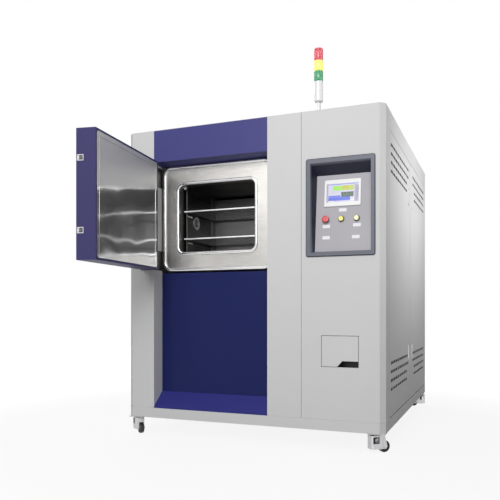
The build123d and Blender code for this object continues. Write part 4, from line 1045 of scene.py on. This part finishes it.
@dataclass
class DoorFittings:
    """Faceplates and screws on the chamber door where it stands open."""

    shop: Workshop
    fasteners: Fasteners
    hinge: Pair = (0.132, -0.036)
    open_degrees: float = 83.6
    edge_front: Pair = (0.915, -0.022)
    edge_back: Pair = (0.906, 0.082)
    latch_heights: Pair = (1.042, 1.394)
    plate_span: Pair = (0.007, 0.041)
    plate_height: float = 0.03
    plate_thickness: float = 0.0004
    hinge_heights: Pair = (0.962, 1.474)
    strap_front: float = -0.032
    strap_screws: Pair = (0.24, 0.295)
    strap_rise: float = 0.016
    strap_screw_radius: float = 0.0055
    hole_span: Pair = (0.019, 0.037)
    hole_height: float = 0.022
    screw_along: float = 0.013
    screw_sink: float = 0.0005
    screw_margin: float = 0.007
    plate_screw_radius: float = 0.0026

    def build(self) -> None:
        """Make the faceplates and the hinge screws."""
        pivot = self.shop.datum.at(self.hinge[0], self.hinge[1], 0)
        swing = Matrix.Rotation(math.radians(-self.open_degrees), 4, "Z")
        self.swung = Matrix.Translation(pivot) @ swing @ Matrix.Translation(-pivot)
        for index, level in enumerate(self.latch_heights):
            self._faceplate(f"latch_faceplate_{index + 1}", level)
        self._hinge_screws()

    def _faceplate(self, name: str, level: float) -> None:
        """Make one plate around a bolt on the door's closing edge."""
        start = self.shop.datum.at(*self.edge_front, level)
        along = (self.shop.datum.at(*self.edge_back, level) - start).normalized()
        outward = Vector((along.y, -along.x, 0))
        axes = Matrix((along, outward, Vector((0, 0, 1)))).transposed().to_4x4()
        place = self.swung @ Matrix.Translation(start) @ axes
        near, far = self.plate_span
        hole_near, hole_far = self.hole_span
        half, hole_half = self.plate_height / 2, self.hole_height / 2
        mesh = bmesh.new()
        for x0, x1, z0, z1 in (
            (near, hole_near, -half, half), (hole_far, far, -half, half),
            (hole_near, hole_far, hole_half, half), (hole_near, hole_far, -half, -hole_half),
        ):
            add_box(mesh, Vector((x0, 0, z0)), Vector((x1, self.plate_thickness, z1)), 0.0, place)
        bmesh.ops.remove_doubles(mesh, verts=mesh.verts, dist=1e-6)
        self.shop.piece(name, mesh, "strike_steel", Carrier.DOOR)
        rise = half - self.screw_margin
        points = [place @ Vector((self.screw_along, -self.screw_sink, sign * rise)) for sign in (-1, 1)]
        normal = (self.swung.to_3x3() @ outward).normalized()
        self.fasteners.screws(
            name + "_screws", points, normal, self.plate_screw_radius, "black", Carrier.DOOR)

    def _hinge_screws(self) -> None:
        """Make the screws of the door's two hinge straps."""
        at, rises = self.shop.datum.at, (-self.strap_rise, self.strap_rise)
        points = [
            self.swung @ at(x, self.strap_front, level + rise)
            for level in self.hinge_heights for x in self.strap_screws for rise in rises
        ]
        outward = self.swung.to_3x3() @ Vector((0, -1, 0))
        self.fasteners.screws(
            "hinge_strap_screws", points, outward, self.strap_screw_radius, "black", Carrier.DOOR)


@dataclass
class ChamberFittings:
    """Small fittings inside the working space."""

    shop: Workshop
    fasteners: Fasteners
    wall: float = 0.306
    upright_face: float = 0.323
    upright_centres: Pair = (0.172, 0.530)
    hole_pitch: float = 0.02
    hole_range: Pair = (1.03, 1.4)
    ceiling: float = 1.4235
    hole_radius: float = 0.0032
    clip_heights: Pair = (1.244, 1.078)
    clip_places: Pair = (0.184, 0.214)
    clip_half: Triple = (0.003, 0.0, 0.004)
    clip_length: float = 0.02
    bracket_span: Pair = (0.128, 0.158)
    bracket_width: float = 0.03
    bracket_drop: float = 0.006
    glass_radius: float = 0.011
    glass_neck: float = 0.002
    glass_drop: float = 0.0065
    glass_steps: int = 6

    def build(self) -> None:
        """Make the punched holes, the shelf clips and the corner lamp."""
        low, high = self.hole_range
        count = round((high - low) / self.hole_pitch)
        levels = [low + self.hole_pitch * index for index in range(count + 1)]
        at = self.shop.datum.at
        points = [at(self.upright_face, y, z) for y in self.upright_centres for z in levels]
        inward = Vector((1, 0, 0))
        self.fasteners.holes("shelf_holes_left", points, inward, self.hole_radius)
        self._clips()
        self._corner_lamp()

    def _clips(self) -> None:
        """Make the bright hooks that hold the runners to the front upright."""
        mesh = bmesh.new()
        half = Vector(self.clip_half)
        along = Vector((0, self.clip_length, 0))
        for z in self.clip_heights:
            for y in self.clip_places:
                start = self.shop.datum.at(self.upright_face, y, z)
                add_box(mesh, start - half, start + half + along, 0.001)
        self.shop.piece("runner_clips", mesh, "rod_steel")

    def _corner_lamp(self) -> None:
        """Make the small lamp fitting under the ceiling by the opening."""
        at = self.shop.datum.at
        top = self.ceiling
        near, far = self.bracket_span
        mesh = bmesh.new()
        low = at(self.wall, near, top - self.bracket_drop)
        add_box(mesh, low, at(self.wall + self.bracket_width, far, top), 0.0012)
        self.shop.piece("lamp_bracket", mesh, "zinc")
        mesh = bmesh.new()
        radius = self.glass_radius
        turns = [math.pi / 2 * step / self.glass_steps for step in range(self.glass_steps)]
        dome = [(radius * math.cos(turn), -radius * math.sin(turn)) for turn in turns]
        profile = [(0.0, self.glass_neck), (radius, self.glass_neck)] + dome + [(0.0, -radius)]
        middle = at(self.wall + self.bracket_width / 2, (near + far) / 2, top - self.glass_drop)
        add_revolved(mesh, profile, Matrix.Translation(middle), 28)
        self.shop.piece("lamp_glass", mesh, "white", smooth=True)


@dataclass
class PanelScrews:
    """Screws let in flush round the rear panel, and bolts under the casters' plates."""

    shop: Workshop
    fasteners: Fasteners
    margin: float = 0.02
    rear_pitch: float = 0.26
    radius: float = 0.0055
    sunk_share: float = 0.51
    bolt_radius: float = 0.006
    half_width: float = 0.79
    caster_inset: float = 0.048
    plate_half: float = 0.033
    plate_underside: float = -0.005

    def build(self) -> None:
        """Set the screws and bolts."""
        self._rear()
        self._caster_plates()

    def _rear(self) -> None:
        """Screw the rear panel down all round, with the heads below its face."""
        low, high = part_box("rear_panel")
        x0, x1 = low.x + self.margin, high.x - self.margin
        z0, z1 = low.z + self.margin, high.z - self.margin
        across = max(1, round((x1 - x0) / self.rear_pitch))
        up = max(1, round((z1 - z0) / self.rear_pitch))
        places = []
        for index in range(across + 1):
            x = x0 + (x1 - x0) * index / across
            places += [(x, z0), (x, z1)]
        for index in range(1, up):
            z = z0 + (z1 - z0) * index / up
            places += [(x0, z), (x1, z)]
        level = high.y - self.radius * self.sunk_share
        points = [Vector((x, level, z)) for x, z in places]
        outward = Vector((0, 1, 0))
        self.fasteners.screws("rear_panel_screws", points, outward, self.radius, "zinc")

    def _caster_plates(self) -> None:
        """Bolt each caster's plate up to the base frame."""
        level = self.shop.datum.base + self.plate_underside
        half = self.plate_half
        points = []
        for corner in CASTER_CORNERS:
            side = 1 if corner.endswith("right") else -1
            end = 1 if corner.startswith("rear") else -1
            x = side * (self.half_width - self.caster_inset)
            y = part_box("top_cover")[max(end, 0)].y - end * self.caster_inset
            points += [Vector((x + dx, y + dy, level)) for dx in (-half, half) for dy in (-half, half)]
        downward = Vector((0, 0, -1))
        self.fasteners.screws(
            "caster_plate_bolts", points, downward, self.bolt_radius, "zinc")


@dataclass(frozen=True)
class Lamp:
    """One soft rectangular lamp of the studio."""

    name: str
    place: Triple
    aim: Triple
    size: Pair
    power: float
    spread_degrees: float = 180.0


@dataclass
class Studio:
    """Camera, lamps and pale floor of the photograph's view."""

    focal_pixels: float = 613.35
    horizon_row: float = 311.1
    yaw_degrees: float = 22.15
    camera_place: Triple = (2.1366, -3.2467, 0.6501)
    sensor: float = 36.0
    room_light: float = 0.17
    floor_colour: Triple = (0.42, 0.42, 0.42)
    floor_white: float = 0.85
    floor_glow: float = 1.05
    floor_radius: float = 9.0
    floor_fade: Pair = (1.5, 3.2)
    lamps: tuple[Lamp, ...] = (
        Lamp("key", (1.6, -4.8, 3.4), (0.8, 0.0, 1.1), (3.6, 3.6), 270.0),
        Lamp("side", (3.1, 1.1, 1.5), (1.58, 1.1, 1.5), (1.8, 0.6), 7.8, 85.0),
        Lamp("top", (0.6, 0.6, 4.6), (0.8, 0.9, 1.7), (4.0, 4.0), 55.0),
        Lamp("rear", (-2.8, 5.4, 3.0), (0.8, 0.9, 0.9), (4.0, 4.0), 260.0),
    )

    def build(self, datum: Datum) -> None:
        """Set up everything that isn't the object."""
        self._camera(datum)
        self._world()
        self._floor()
        self._lamps(datum)
        bpy.context.scene.view_settings.view_transform = "Standard"

    def _camera(self, datum: Datum) -> None:
        """Place the level camera with its raised horizon."""
        lens = bpy.data.cameras.new("camera")
        lens.sensor_width = self.sensor
        lens.lens = self.focal_pixels / RENDER_PIXELS * self.sensor
        lens.shift_y = (self.horizon_row - RENDER_PIXELS / 2) / RENDER_PIXELS
        camera = bpy.data.objects.new("camera", lens)
        camera.location = datum.at(*self.camera_place)
        camera.rotation_euler = (math.radians(90), 0, math.radians(self.yaw_degrees))
        bpy.context.scene.collection.objects.link(camera)
        bpy.context.scene.camera = camera

    @staticmethod
    def _seen(graph: NodeGraph) -> NodeSocket:
        """Return 1 for camera, glossy and transmission rays."""
        path = graph.node("ShaderNodeLightPath")
        total = path.outputs["Is Camera Ray"]
        for name in ("Is Glossy Ray", "Is Transmission Ray"):
            inputs = {0: total, 1: path.outputs[name]}
            total = graph.node("ShaderNodeMath", inputs, operation="MAXIMUM").outputs[0]
        return total

    def _world(self) -> None:
        """Light the room evenly, white where the camera looks."""
        world = bpy.data.worlds.new("room")
        world.use_nodes = True
        graph = NodeGraph(world.node_tree)
        graph.tree.nodes.clear()
        white = {"Color": (1, 1, 1, 1)}
        seen = graph.node("ShaderNodeBackground", white)
        lit = graph.node("ShaderNodeBackground", {**white, "Strength": self.room_light})
        shares = {0: self._seen(graph), 1: lit.outputs[0], 2: seen.outputs[0]}
        mix = graph.node("ShaderNodeMixShader", shares)
        graph.node("ShaderNodeOutputWorld", {"Surface": mix.outputs[0]})
        bpy.context.scene.world = world

    def _floor(self) -> None:
        """Lay the floor: white to the eye, with the object's soft shadow."""
        bpy.ops.mesh.primitive_circle_add(vertices=96, radius=self.floor_radius, fill_type="NGON")
        floor = bpy.context.object
        floor.name = "floor"
        material = bpy.data.materials.new("floor")
        material.use_nodes = True
        graph = NodeGraph(material.node_tree)
        surface = graph.tree.nodes["Principled BSDF"]
        dull = {"Base Color": (*self.floor_colour, 1), "Roughness": 0.9, "Specular IOR Level": 0.0}
        for name, value in dull.items():
            surface.inputs[name].default_value = value
        white = graph.node("ShaderNodeEmission", {"Strength": self.floor_glow})
        factors = {0: self._seen(graph), 1: self._fade(graph)}
        share = graph.node("ShaderNodeMath", factors, operation="MULTIPLY")
        shares = {0: share.outputs[0], 1: surface.outputs[0], 2: white.outputs[0]}
        mix = graph.node("ShaderNodeMixShader", shares)
        graph.feed(graph.tree.nodes["Material Output"].inputs["Surface"], mix.outputs[0])
        floor.data.materials.append(material)

    def _fade(self, graph: NodeGraph) -> NodeSocket:
        """Return the floor's share of plain white, whole at a distance."""
        place = graph.node("ShaderNodeTexCoord").outputs["Object"]
        length = graph.node("ShaderNodeVectorMath", {0: place}, operation="LENGTH")
        near, far = self.floor_fade
        limits = {"Value": length.outputs["Value"], "From Min": near, "From Max": far,
                  "To Min": self.floor_white, "To Max": 1.0}
        return graph.node("ShaderNodeMapRange", limits, interpolation_type="SMOOTHSTEP").outputs[0]

    def _lamps(self, datum: Datum) -> None:
        """Hang the soft lamps."""
        for plan in self.lamps:
            light = bpy.data.lights.new(plan.name, "AREA")
            light.shape = "RECTANGLE"
            light.size, light.size_y = plan.size
            light.spread = math.radians(plan.spread_degrees)
            light.energy = plan.power
            lamp = bpy.data.objects.new(plan.name, light)
            lamp.location = datum.at(*plan.place)
            aim = datum.at(*plan.aim) - lamp.location
            lamp.rotation_euler = aim.to_track_quat("-Z", "Y").to_euler()
            bpy.context.scene.collection.objects.link(lamp)


def main() -> None:
    """Dress the machine, add its fittings and set up the studio."""
    logging.basicConfig(level=logging.INFO)
    shop = Workshop({name: finish.make() for name, finish in FINISHES.items()})
    fasteners = Fasteners(shop)
    CabinetFinish(shop).dress()
    TowerLight(shop).build()
    ControlPanel(shop).build()
    DoorFittings(shop, fasteners).build()
    ChamberFittings(shop, fasteners).build()
    PanelScrews(shop, fasteners).build()
    Studio().build(shop.datum)


if __name__ == "__main__":
    main()
